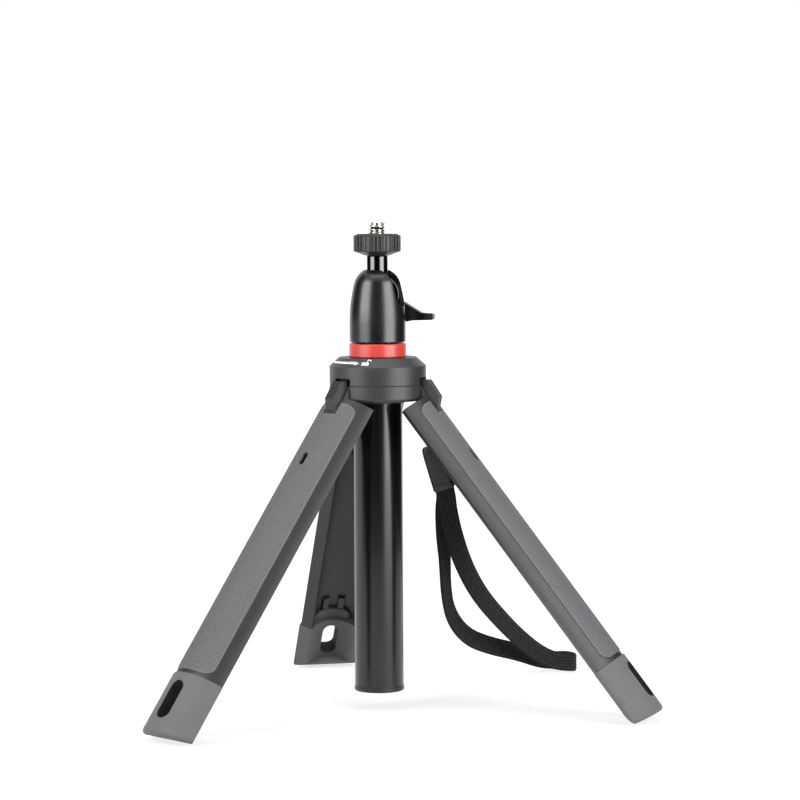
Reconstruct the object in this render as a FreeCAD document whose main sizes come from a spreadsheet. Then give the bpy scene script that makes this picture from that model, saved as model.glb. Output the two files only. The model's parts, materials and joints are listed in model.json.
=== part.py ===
# Telescoping table tripod, drawn open on a floor at height zero.
# Millimetres, +Z up, origin on the floor under the pole axis.

import FreeCAD, Part
import Sketcher
import math
import os

doc = FreeCAD.newDocument("tripod")

# Driving sizes, in millimetres and degrees

SIZES = {
    # pole
    "tube_radius": 9.5,
    "tube_wall": 0.8,
    "tube_exposed": 113.3,
    "plug_lip": 0.2,
    "plug_lip_height": 2.3,
    "plug_depth": 4.0,
    "section_gap": 0.4,
    "section_step": 1.1,
    "section_wall": 0.5,
    "section_rise": 1.0,
    "bush_height": 8.0,
    "lip_height": 3.0,
    "slide_gap": 0.08,
    "fit_gap": 0.05,
    # hub
    "hub_rim": 5.2,
    "hub_chamfer_width": 3.65,
    "hub_chamfer_height": 3.25,
    "hub_above_hinge": 8.95,
    "hub_below_hinge": 7.65,
    "seam_below_hinge": 1.45,
    "seam_bevel": 0.2,
    "hub_bottom_round": 1.3,
    "hub_ring_wall": 1.0,
    "hub_ring_height": 1.0,
    "notch_width": 8.3,
    "notch_lip_above_hinge": 1.35,
    "notch_roof_above_hinge": 3.0,
    "notch_roof_wall": 1.5,
    "notch_inner_wall": 1.05,
    "screw_inset": 4.5,
    "screw_radius": 1.0,
    "screw_head_radius": 2.0,
    "screw_head_height": 1.4,
    "screw_length": 9.0,
    # twist lock
    "ring_wall": 1.05,
    "ring_height": 5.2,
    "ring_lift": 0.15,
    "ring_gap": 0.15,
    "ring_flange": 1.3,
    "ring_flange_gap": 0.2,
    "ring_bevel": 0.35,
    "collet_gap": 0.06,
    "collet_wall": 1.49,
    "collet_top_gap": 0.4,
    "collet_slit": 0.8,
    # leg hinge and knuckle
    "open_angle": 37.7,
    "leg_reach": 156.0,
    "hinge_pin_radius": 0.9,
    "hinge_pin_length": 14.0,
    "knuckle_round": 2.6,
    "knuckle_gap": 0.35,
    "knuckle_width": 4.8,
    "knuckle_root_width": 7.7,
    # leg
    "leg_pole_gap": 1.6,
    "leg_depth": 4.9,
    "leg_wall": 2.0,
    "leg_side_gap": 0.2,
    "leg_top_drop": 8.8,
    "leg_cap": 2.5,
    "pad_half_angle": 40.0,
    "pad_thickness": 0.95,
    "pad_recess": 0.8,
    "pad_corner": 3.5,
    "pad_top_margin": 2.2,
    "pad_foot_margin": 1.6,
    "pad_gap": 0.1,
    "pad_cutout_width": 6.8,
    "pad_cutout_drop": 16.4,
    "slot_drop": 37.3,
    "slot_width": 2.6,
    "slot_length": 5.8,
    "slot_bar_radius": 0.9,
    "slot_bar_place": 11.8,
    "slot_cheek": 1.0,
    "rib_width": 2.5,
    "rib_spacing": 6.3,
    "rib_length": 6.0,
    "rib_height": 1.2,
    # foot
    "foot_swell": 0.65,
    "foot_pole_gap": 1.1,
    "foot_length": 23.4,
    "foot_round": 1.2,
    "foot_slot_width": 6.5,
    "foot_slot_length": 16.1,
    "foot_slot_margin": 3.9,
    "foot_tongue_width": 15.0,
    "foot_tongue_height": 4.5,
    "foot_tongue_round": 3.0,
    "foot_tongue_thickness": 1.5,
    "spigot_length": 3.0,
    "spigot_inset": 0.15,
    "spigot_thickness": 1.1,
    # ball head
    "head_lift": 0.52,
    "head_wall": 2.26,
    "head_straight": 6.4,
    "head_shoulder_inset": 1.76,
    "head_shoulder_rise": 4.25,
    "head_side_curve": 63.0,
    "head_rim_rise": 9.85,
    "head_dome_curve": 8.6,
    "head_rim_land": 0.2,
    "head_base_gap": 0.1,
    "head_base_drop": 4.4,
    "pole_socket_depth": 6.5,
    "ball_radius": 8.5,
    "ball_height": 18.0,
    "ball_cap": 1.0,
    "stem_radius": 4.1,
    "stem_play": 0.8,
    "stem_root_radius": 3.0,
    "stem_root_depth": 6.0,
    "stem_top": 15.35,
    "stem_bevel": 0.35,
    "portrait_notch_play": 0.3,
    "portrait_notch_way": 58.0,
    # clamp lever
    "lever_way": 153.0,
    "lever_drop": 6.0,
    "lever_gap": 0.15,
    "lever_thickness": 3.5,
    "lever_hub_radius": 3.9,
    "lever_reach": 19.3,
    "lever_tip_drop": 1.5,
    "lever_tip": 2.5,
    "clamp_screw_radius": 2.0,
    "clamp_cap_radius": 2.9,
    "clamp_cap_height": 0.9,
    "brake_pad_radius": 2.5,
    "brake_pad_inset": 0.7,
    # camera wheel
    "wheel_radius": 9.15,
    "wheel_height": 6.35,
    "wheel_cone_height": 1.5,
    "wheel_neck_lip": 0.8,
    "wheel_bevel": 0.3,
    "wheel_groove_radius": 0.55,
    "wheel_groove_out": 0.3,
    "wheel_grooves": 36,
    "wheel_pivot_radius": 2.5,
    "wheel_pivot_height": 5.5,
    "wheel_rim": 0.9,
    "wheel_pad_thickness": 0.8,
    "wheel_pad_seat": 0.5,
    "stud_radius": 3.175,
    "stud_root_radius": 3.0,
    "stud_above_pad": 4.8,
    "stud_bevel": 0.6,
    # wrist strap
    "strap_width": 7.5,
    "strap_thickness": 1.4,
    "strap_station": 3.0,
    "keeper_width": 8.6,
    "keeper_thickness": 5.2,
    "keeper_round": 1.2,
    "cord_diameter": 1.2,
}
SECTION_COUNT = 5
LEG_ANGLES = {"left": -60.0, "right": 60.0, "rear": 180.0}
SECTOR_ANGLE = 120.0

# Radii and heights above the floor that the pieces share, worked out from the driving sizes


def shared_radii(size):
    """Outwards from the tube: nested sections, hub, twist lock and legs; then the head."""
    radius = {"plug_lip_radius": size["tube_radius"] + size["plug_lip"]}
    radius["section_radius"] = size["tube_radius"] - size["tube_wall"] - size["section_gap"]
    radius["hub_ring_radius"] = size["tube_radius"] + size["hub_ring_wall"]
    radius["notch_inner_radius"] = size["tube_radius"] + size["notch_inner_wall"]
    knuckle_reach = size["knuckle_round"] + size["knuckle_gap"]
    radius["hinge_radius"] = radius["notch_inner_radius"] + knuckle_reach
    radius["hub_radius"] = radius["hinge_radius"] + size["hub_rim"]
    radius["hub_top_radius"] = radius["hub_radius"] - size["hub_chamfer_width"]
    radius["notch_roof_radius"] = radius["hub_radius"] - size["notch_roof_wall"]
    radius["screw_circle"] = radius["hub_radius"] - size["screw_inset"]
    radius["collet_bore"] = radius["section_radius"] + size["collet_gap"]
    radius["collet_radius"] = radius["collet_bore"] + size["collet_wall"]
    radius["ring_bore"] = radius["collet_radius"] + size["ring_gap"]
    radius["ring_radius"] = radius["ring_bore"] + size["ring_wall"]
    radius["leg_inner_radius"] = size["tube_radius"] + size["leg_pole_gap"]
    radius["leg_radius"] = radius["leg_inner_radius"] + size["leg_depth"]
    radius["foot_inner_radius"] = size["tube_radius"] + size["foot_pole_gap"]
    radius["foot_radius"] = radius["leg_radius"] + size["foot_swell"]
    radius["head_base_radius"] = size["ball_radius"] + size["head_base_gap"]
    radius["head_radius"] = radius["head_base_radius"] + size["head_wall"]
    radius["head_shoulder_radius"] = radius["head_radius"] - size["head_shoulder_inset"]
    radius["head_opening"] = size["stem_radius"] + size["stem_play"]
    radius["head_rim_radius"] = radius["head_opening"] + size["head_rim_land"]
    radius["brake_pad_outer"] = radius["head_base_radius"] - size["brake_pad_inset"]
    radius["portrait_notch_radius"] = size["stem_radius"] + size["portrait_notch_play"]
    radius["wheel_neck_radius"] = size["stem_radius"] + size["wheel_neck_lip"]
    radius["wheel_pad_radius"] = size["wheel_radius"] - size["wheel_rim"]
    return radius


def shared_heights(size, radius):
    """Every level that the pieces share; the legs stand open with their feet on the floor."""
    lean = math.radians(size["open_angle"])
    slip = math.asin(size["leg_side_gap"] / radius["foot_inner_radius"])
    corner = radius["foot_inner_radius"] * math.cos(math.radians(SECTOR_ANGLE / 2) - slip)
    hinge = size["leg_reach"] * math.cos(lean) + (radius["hinge_radius"] - corner) * math.sin(lean)
    level = {}
    level["hinge_level"] = hinge
    level["hub_top_level"] = hinge + size["hub_above_hinge"]
    level["hub_bottom_level"] = hinge - size["hub_below_hinge"]
    level["seam_level"] = hinge - size["seam_below_hinge"]
    level["tube_bottom_level"] = level["hub_bottom_level"] - size["tube_exposed"]
    level["leg_top_level"] = hinge - size["leg_top_drop"]
    level["foot_bottom_level"] = hinge - size["leg_reach"]
    level["foot_top_level"] = level["foot_bottom_level"] + size["foot_length"]
    level["slot_level"] = hinge - size["slot_drop"]
    level["ring_level"] = level["hub_top_level"] + size["ring_lift"]
    ring_top = level["ring_level"] + size["ring_height"]
    level["collet_top_level"] = ring_top - size["ring_flange"] - size["collet_top_gap"]
    level["head_level"] = ring_top + size["head_lift"]
    level["ball_level"] = level["head_level"] + size["ball_height"]
    level["ball_top_level"] = level["ball_level"] + size["ball_radius"] - size["ball_cap"]
    level["lever_level"] = level["ball_level"] - size["lever_drop"]
    level["wheel_level"] = level["ball_level"] + size["stem_top"]
    return level


RADII = shared_radii(SIZES)
LEVELS = shared_heights(SIZES, RADII)

sheet = doc.addObject("Spreadsheet::Sheet", "Sizes")
cells = {**SIZES, **RADII, **LEVELS}
for row, (alias, number) in enumerate(cells.items(), start=1):
    sheet.set("A%d" % row, alias)
    sheet.set("B%d" % row, repr(number))
    sheet.setAlias("B%d" % row, alias)
doc.recompute()

# Helpers: every size and height is an expression on the sheet


def full(text):
    """Writes sheet names out in full, so that @name means the cell of that name."""
    return text.replace("@", "Sizes.")


def value(text):
    """The number that an expression gives now."""
    result = sheet.evalExpression(full(text))
    return float(result.Value if hasattr(result, "Value") else result)


def bind(thing, **sizes):
    """Ties properties of an object to expressions on the sheet."""
    for name, text in sizes.items():
        thing.setExpression(name.replace("__", "."), full(text))
    return thing


def turn(thing, angle, axis=(0, 0, 1)):
    """Turns an object about an axis through its own base point."""
    thing.Placement.Rotation = FreeCAD.Rotation(FreeCAD.Vector(*axis), angle)
    return thing


def base(thing, x="0", y="0", z="0"):
    """Ties an object's base point to expressions."""
    return bind(thing, Placement__Base__x=x, Placement__Base__y=y, Placement__Base__z=z)


def cylinder(name, radius, height, z="0", x="0", y="0"):
    """An upright cylinder with its lower end at the given place."""
    thing = doc.addObject("Part::Cylinder", name)
    bind(thing, Radius=radius, Height=height)
    return base(thing, x, y, z)


def cross_cylinder(name, radius, length, x, z, along="y"):
    """A level cylinder centred on the leg's middle plane, or pointing outwards along x."""
    thing = doc.addObject("Part::Cylinder", name)
    bind(thing, Radius=radius, Height=length)
    if along == "y":
        turn(thing, -90, (1, 0, 0))
        return base(thing, x, "-(%s) / 2" % length, z)
    turn(thing, 90, (0, 1, 0))
    return base(thing, x, "0", z)


def box(name, x0, x1, width, z0, z1):
    """A block from x0 to x1 and z0 to z1, centred on the leg's middle plane."""
    thing = doc.addObject("Part::Box", name)
    bind(thing, Length="(%s) - (%s)" % (x1, x0), Width=width, Height="(%s) - (%s)" % (z1, z0))
    return base(thing, x0, "-(%s) / 2" % width, z0)


def sector(name, radius, apex, z0, z1):
    """A third of a cylinder about +X, with its point moved out along X by apex."""
    thing = doc.addObject("Part::Cylinder", name)
    bind(thing, Radius="(%s) - (%s)" % (radius, apex), Height="(%s) - (%s)" % (z1, z0))
    thing.Angle = SECTOR_ANGLE
    turn(thing, -SECTOR_ANGLE / 2)
    return base(thing, apex, "0", z0)


def fuse(name, things):
    thing = doc.addObject("Part::MultiFuse", name)
    thing.Shapes = things
    thing.Refine = True
    return thing


def common(name, things):
    thing = doc.addObject("Part::MultiCommon", name)
    thing.Shapes = things
    return thing


def cut(name, body, things):
    """Takes one or more tools out of a body."""
    tool = things[0] if len(things) == 1 else fuse(name + "_tools", things)
    thing = doc.addObject("Part::Cut", name)
    thing.Base = body
    thing.Tool = tool
    thing.Refine = True
    return thing


def round_edges(name, body, radius, chosen):
    """Rounds the edges of a body that the test picks."""
    doc.recompute()
    thing = doc.addObject("Part::Fillet", name)
    thing.Base = body
    size = value(radius)
    thing.Edges = [
        (number, size, size) for number, edge in enumerate(body.Shape.Edges, start=1) if chosen(edge)
    ]
    return thing


def along_x(edge):
    """Whether a straight edge runs along X."""
    first, last = edge.Vertexes[0].Point, edge.Vertexes[-1].Point
    return (last - first).Length > 1e-6 and abs(abs((last - first).normalize().x) - 1) < 1e-6


def pin_coordinate(sketch, geometry, end, kind, text):
    """Fixes one coordinate of a sketch point to an expression measured from the origin."""
    number = value(text)
    if abs(number) < 1e-9:
        line = -2 if kind == "DistanceX" else -1
        sketch.addConstraint(Sketcher.Constraint("PointOnObject", geometry, end, line))
    elif number > 0:
        place = sketch.addConstraint(Sketcher.Constraint(kind, -1, 1, geometry, end, number))
        sketch.setExpression("Constraints[%d]" % place, full(text))
    else:
        place = sketch.addConstraint(Sketcher.Constraint(kind, geometry, end, -1, 1, -number))
        sketch.setExpression("Constraints[%d]" % place, full("-(%s)" % text))


def draw(sketch, outline):
    """Draws a closed outline of (x, y) or (x, y, curve) corners.

    A curve is the radius expression of the arc that leaves the corner, with a leading
    '+' or '-' for the side that it bulges to, seen along the way.
    """
    corners = [FreeCAD.Vector(value(c[0]), value(c[1]), 0) for c in outline]
    count = len(outline)
    for i, corner in enumerate(outline):
        start, end = corners[i], corners[(i + 1) % count]
        if len(corner) == 3:
            side = 1 if corner[2][0] == "+" else -1
            radius = value(corner[2][1:])
            chord = end - start
            bulge = radius - math.sqrt(radius**2 - (chord.Length / 2) ** 2)
            normal = FreeCAD.Vector(chord.y, -chord.x, 0).normalize() * side
            middle = start + chord * 0.5 + normal * bulge
            ends = (start, end) if side > 0 else (end, start)
            sketch.addGeometry(Part.Arc(ends[0], middle, ends[1]), False)
        else:
            sketch.addGeometry(Part.LineSegment(start, end), False)
    ends = [(2, 1) if len(c) == 3 and c[2][0] == "-" else (1, 2) for c in outline]
    for i in range(count):
        after = (i + 1) % count
        sketch.addConstraint(
            Sketcher.Constraint("Coincident", i, ends[i][1], after, ends[after][0])
        )
    for i, corner in enumerate(outline):
        pin_coordinate(sketch, i, ends[i][0], "DistanceX", corner[0])
        pin_coordinate(sketch, i, ends[i][0], "DistanceY", corner[1])
        if len(corner) == 3:
            place = sketch.addConstraint(
                Sketcher.Constraint("Radius", i, value(corner[2][1:]))
            )
            sketch.setExpression("Constraints[%d]" % place, full(corner[2][1:]))


def origin_feature(body, role):
    for feature in body.Origin.OriginFeatures:
        if feature.Role == role:
            return feature


def turned(name, outline):
    """A body turned about the pole axis from an outline of (radius, height) corners."""
    body = doc.addObject("PartDesign::Body", name)
    sketch = body.newObject("Sketcher::SketchObject", name + "_outline")
    sketch.AttachmentSupport = [(origin_feature(body, "XZ_Plane"), "")]
    sketch.MapMode = "FlatFace"
    draw(sketch, outline)
    solid = body.newObject("PartDesign::Revolution", name + "_turned")
    solid.Profile = sketch
    solid.ReferenceAxis = (sketch, ["V_Axis"])
    solid.Angle = 360
    body.Tip = solid
    return body


def plate(name, outline, width, z):
    """An outline in the leg's middle plane, given from height z, thickened both ways."""
    sketch = doc.addObject("Sketcher::SketchObject", name + "_outline")
    turn(sketch, 90, (1, 0, 0))
    base(sketch, z=z)
    draw(sketch, outline)
    thing = doc.addObject("Part::Extrusion", name)
    thing.Base = sketch
    thing.DirMode = "Custom"
    thing.Dir = FreeCAD.Vector(0, 1, 0)
    thing.Solid = True
    thing.Symmetric = True
    return bind(thing, LengthFwd=width)


def around(things, angles):
    """Copies of the tools at several angles round the pole axis."""
    copies = []
    for thing in things:
        for angle in angles:
            ring = doc.addObject("Part::Compound", "%s_at_%d" % (thing.Name, round(angle) % 360))
            ring.Links = [thing]
            turn(ring, angle)
            copies.append(ring)
    return copies


def facing(way):
    """The turn about Z that points +X along a way measured from the front (-Y) to the right."""
    return way - 90.0


finished = {}


def finish(name, thing, placement=None):
    """Names a finished piece, and places it."""
    thing.Label = name
    if placement is not None:
        thing.Placement = placement
    finished[name] = thing
    return thing


def outwards(way):
    return FreeCAD.Vector(math.sin(math.radians(way)), -math.cos(math.radians(way)), 0)


# Pole: outer tube, end plug, and the sections nested inside


def tube_outline(outer, bore, bottom, top, lip):
    """A tube whose upper end is rolled in to the lip radius."""
    return [
        (bore, bottom),
        (outer, bottom),
        (outer, top),
        (lip, top),
        (lip, "%s - @lip_height" % top),
        (bore, "%s - @lip_height" % top),
    ]


def section_radius(number):
    return "(@section_radius - %d * @section_step)" % (number - 1)


def section_bore(number):
    if number == 0:
        return "(@tube_radius - @tube_wall)"
    return "(%s - @section_wall)" % section_radius(number)


def section_bottom(number):
    return "(@tube_bottom_level + @plug_lip_height + @plug_depth + %d * @section_rise)" % number


def section_top(number):
    return "(@hub_top_level + 1.2 + %d * @section_rise)" % number


def make_pole():
    tube_bottom = "(@tube_bottom_level + @plug_lip_height)"
    lip = "(%s + @slide_gap)" % section_radius(1)
    outline = tube_outline("@tube_radius", section_bore(0), tube_bottom, "@hub_top_level", lip)
    finish("outer_tube", turned("outer_tube", outline))
    plug = [
        ("0", "@tube_bottom_level"),
        ("@plug_lip_radius - 0.4", "@tube_bottom_level"),
        ("@plug_lip_radius", "@tube_bottom_level + 0.4"),
        ("@plug_lip_radius", "@tube_bottom_level + @plug_lip_height - 0.7"),
        ("@plug_lip_radius - 0.25", "@tube_bottom_level + @plug_lip_height - 0.5"),
        ("@plug_lip_radius - 0.25", "@tube_bottom_level + @plug_lip_height"),
        (section_bore(0), tube_bottom),
        (section_bore(0), "%s + @plug_depth - 0.5" % tube_bottom),
        ("%s - 0.5" % section_bore(0), "%s + @plug_depth" % tube_bottom),
        ("0", "%s + @plug_depth" % tube_bottom),
    ]
    finish("tube_end_plug", turned("tube_end_plug", plug))
    for number in range(1, SECTION_COUNT + 1):
        radius, bore = section_radius(number), section_bore(number)
        bottom, top = section_bottom(number), section_top(number)
        name = "pole_section_%d" % number
        if number < SECTION_COUNT:
            inner = "(%s + @slide_gap)" % section_radius(number + 1)
            outline = tube_outline(radius, bore, bottom, top, inner)
        else:
            top = "(@head_level + @pole_socket_depth)"
            outline = [
                (bore, bottom),
                (radius, bottom),
                (radius, top),
                ("0", top),
                ("0", "@head_level - @lip_height"),
                (bore, "@head_level - @lip_height"),
            ]
        finish(name, turned(name, outline))
        bush = [
            (radius, bottom),
            ("%s - @fit_gap" % section_bore(number - 1), bottom),
            ("%s - @fit_gap" % section_bore(number - 1), "%s + @bush_height" % bottom),
            (radius, "%s + @bush_height" % bottom),
        ]
        name = "section_bush_%d" % number
        finish(name, turned(name, bush))


# Hub: two shells with three leg notches, pins and screws


def make_hub():
    ways = [facing(way) for way in LEG_ANGLES.values()]
    between = [angle + 180 for angle in ways]
    chamfer_foot = "@hub_top_level - @hub_chamfer_height"
    upper = turned("hub_upper", [
        ("@tube_radius", "@seam_level"),
        ("@hub_radius - @seam_bevel", "@seam_level"),
        ("@hub_radius", "@seam_level + @seam_bevel"),
        ("@hub_radius", chamfer_foot),
        ("@hub_top_radius", "@hub_top_level"),
        ("@tube_radius", "@hub_top_level"),
    ])
    lower = turned("hub_lower", [
        ("@tube_radius", "@hub_bottom_level - @hub_ring_height"),
        ("@hub_ring_radius", "@hub_bottom_level - @hub_ring_height"),
        ("@hub_ring_radius", "@hub_bottom_level"),
        ("@hub_radius - @hub_bottom_round", "@hub_bottom_level", "+@hub_bottom_round"),
        ("@hub_radius", "@hub_bottom_level + @hub_bottom_round"),
        ("@hub_radius", "@seam_level - @seam_bevel"),
        ("@hub_radius - @seam_bevel", "@seam_level"),
        ("@tube_radius", "@seam_level"),
    ])
    far = "@hub_radius + 2"
    below = "@hub_bottom_level - 2"
    mouth = box("notch_mouth", "@notch_inner_radius", far, "@notch_width", below,
                "@hinge_level + @notch_lip_above_hinge")
    room = box("notch_room", "@notch_inner_radius", "@notch_roof_radius", "@notch_width", below,
               "@hinge_level + @notch_roof_above_hinge")
    pin_seat = cross_cylinder("pin_seat", "@hinge_pin_radius", "@hinge_pin_length",
                              "@hinge_radius", "@hinge_level")
    pin_drop = box("pin_drop", "@hinge_radius - @hinge_pin_radius",
                   "@hinge_radius + @hinge_pin_radius", "@hinge_pin_length",
                   "@seam_level", "@hinge_level")
    screw_top = "(@hub_bottom_level + @screw_length)"
    hole = cylinder("screw_hole", "@screw_radius", "@screw_length + 2", below, x="@screw_circle")
    sink = cylinder("screw_sink", "@screw_head_radius", "@screw_head_height + 2", below,
                    x="@screw_circle")
    notches = around([mouth, room], ways)
    upper_tools = notches + around([pin_seat, pin_drop], ways) + around([hole], between)
    finish("hub_upper_shell", cut("hub_upper_shell", upper, upper_tools))
    lower_tools = around([mouth, room], ways) + around([hole, sink], between)
    finish("hub_lower_shell", cut("hub_lower_shell", lower, lower_tools))
    shaft = cylinder("screw_shaft", "@screw_radius", "%s - @hub_bottom_level" % screw_top,
                     "@hub_bottom_level", x="@screw_circle")
    head = cylinder("screw_head", "@screw_head_radius", "@screw_head_height - 0.2",
                    "@hub_bottom_level + 0.2", x="@screw_circle")
    drive = cylinder("screw_drive", "@screw_radius * 0.6", "1.0", "@hub_bottom_level",
                     x="@screw_circle")
    upper_part = box("screw_keep", "@screw_circle - 4", "@screw_circle + 4", "8",
                     "@hub_bottom_level + 0.2", screw_top)
    screw = cut("hub_screw", common("screw_solid", [fuse("screw_blank", [shaft, head]),
                                                   upper_part]), [drive])
    screws = doc.addObject("Part::Compound", "hub_screws")
    screws.Links = around([screw], between)
    finish("hub_screws", screws)
    for side, way in LEG_ANGLES.items():
        name = "hinge_pin_" + side
        pin = cross_cylinder(name + "_rod", "@hinge_pin_radius", "@hinge_pin_length",
                             "@hinge_radius", "@hinge_level")
        rod = doc.addObject("Part::Compound", name)
        rod.Links = [pin]
        finish(name, turn(rod, facing(way)))


# Twist lock: split collet on the tube, red ring over it


def make_lock():
    top = "@collet_top_level"
    collet = turned("collet_blank", [
        ("@collet_bore", "@hub_top_level"),
        ("@collet_radius", "@hub_top_level"),
        ("@collet_radius - 0.5", top),
        ("@collet_bore", top),
    ])
    slit = box("collet_slit_way", "-@ring_radius", "@ring_radius", "@collet_slit",
               "@hub_top_level + 1", top + " + 1")
    slits = around([slit], (0.0, 90.0))
    finish("lock_collet", cut("lock_collet", collet, slits))
    ring_top = "(@ring_level + @ring_height)"
    flange_bore = "(%s + @ring_flange_gap)" % section_radius(1)
    ring = turned("lock_ring", [
        ("@ring_bore", "@ring_level"),
        ("@ring_radius - @ring_bevel", "@ring_level"),
        ("@ring_radius", "@ring_level + @ring_bevel"),
        ("@ring_radius", "%s - @ring_bevel" % ring_top),
        ("@ring_radius - @ring_bevel", ring_top),
        (flange_bore, ring_top),
        (flange_bore, "%s - @ring_flange" % ring_top),
        ("@ring_bore", "%s - @ring_flange" % ring_top),
    ])
    finish("lock_ring", ring)


# Legs: channel shell with its knuckle, grip pad, and rubber foot


def open_leg(way):
    """From folded against the pole to open, then round to the leg's own side."""
    hinge = FreeCAD.Vector(value("@hinge_radius"), 0, value("@hinge_level"))
    swing = FreeCAD.Rotation(FreeCAD.Vector(0, 1, 0), -value("@open_angle"))
    swung = FreeCAD.Placement(hinge - swing.multVec(hinge), swing)
    side = FreeCAD.Placement(FreeCAD.Vector(), FreeCAD.Rotation(FreeCAD.Vector(0, 0, 1), facing(way)))
    return side.multiply(swung)


def capsule(name, x0, x1, width, length, middle):
    """A slot-shaped tool pointing outwards, with round ends up and down."""
    reach = "((%s - %s) / 2)" % (length, width)
    parts = [box(name + "_middle", x0, x1, width, "%s - %s" % (middle, reach),
                 "%s + %s" % (middle, reach))]
    for end, sign in (("top", "+"), ("bottom", "-")):
        parts.append(cross_cylinder(name + "_" + end, "%s / 2" % width, "(%s) - (%s)" % (x1, x0), x0,
                                    "%s %s %s" % (middle, sign, reach), along="x"))
    return fuse(name, parts)


def ring_block(name, inner, outer, block):
    """The stretch of a tube wall, from inner to outer radius, that lies inside a block."""
    low = "@foot_bottom_level - 5"
    length = "@leg_reach + 10"
    wall = cut(name + "_wall", cylinder(name + "_out", outer, length, low),
               [cylinder(name + "_in", inner, length, low)])
    return common(name, [wall, block])


def knuckle(name):
    """The blade and its wider root that reach up into the hub notch."""
    drop = "@leg_top_drop + 6.6"
    blade = plate(name + "_blade", [
        ("@hinge_radius - 2.2", "-(%s)" % drop),
        ("@hinge_radius + 1.9", "-(%s)" % drop),
        ("@hinge_radius + 5.7", "-(@leg_top_drop + 3.1)"),
        ("@hinge_radius + 6.2", "-4.3"),
        ("@hinge_radius + 2.8", "-1.5"),
        ("@hinge_radius", "0.1"),
        ("@hinge_radius - 2.2", "-1.9"),
    ], "@knuckle_width", "@hinge_level")
    root = plate(name + "_root", [
        ("@hinge_radius - 2.2", "-(@leg_top_drop + 1)"),
        ("@hinge_radius + 2.1", "-(@leg_top_drop + 1)"),
        ("@hinge_radius + 2.7", "-4.4"),
        ("@hinge_radius + 1.7", "-1.0"),
        ("@hinge_radius - 2.2", "-1.0"),
    ], "@knuckle_root_width", "@hinge_level")
    boss = cross_cylinder(name + "_boss", "@knuckle_round", "@knuckle_root_width",
                          "@hinge_radius", "@hinge_level")
    return [blade, root, boss]


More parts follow.
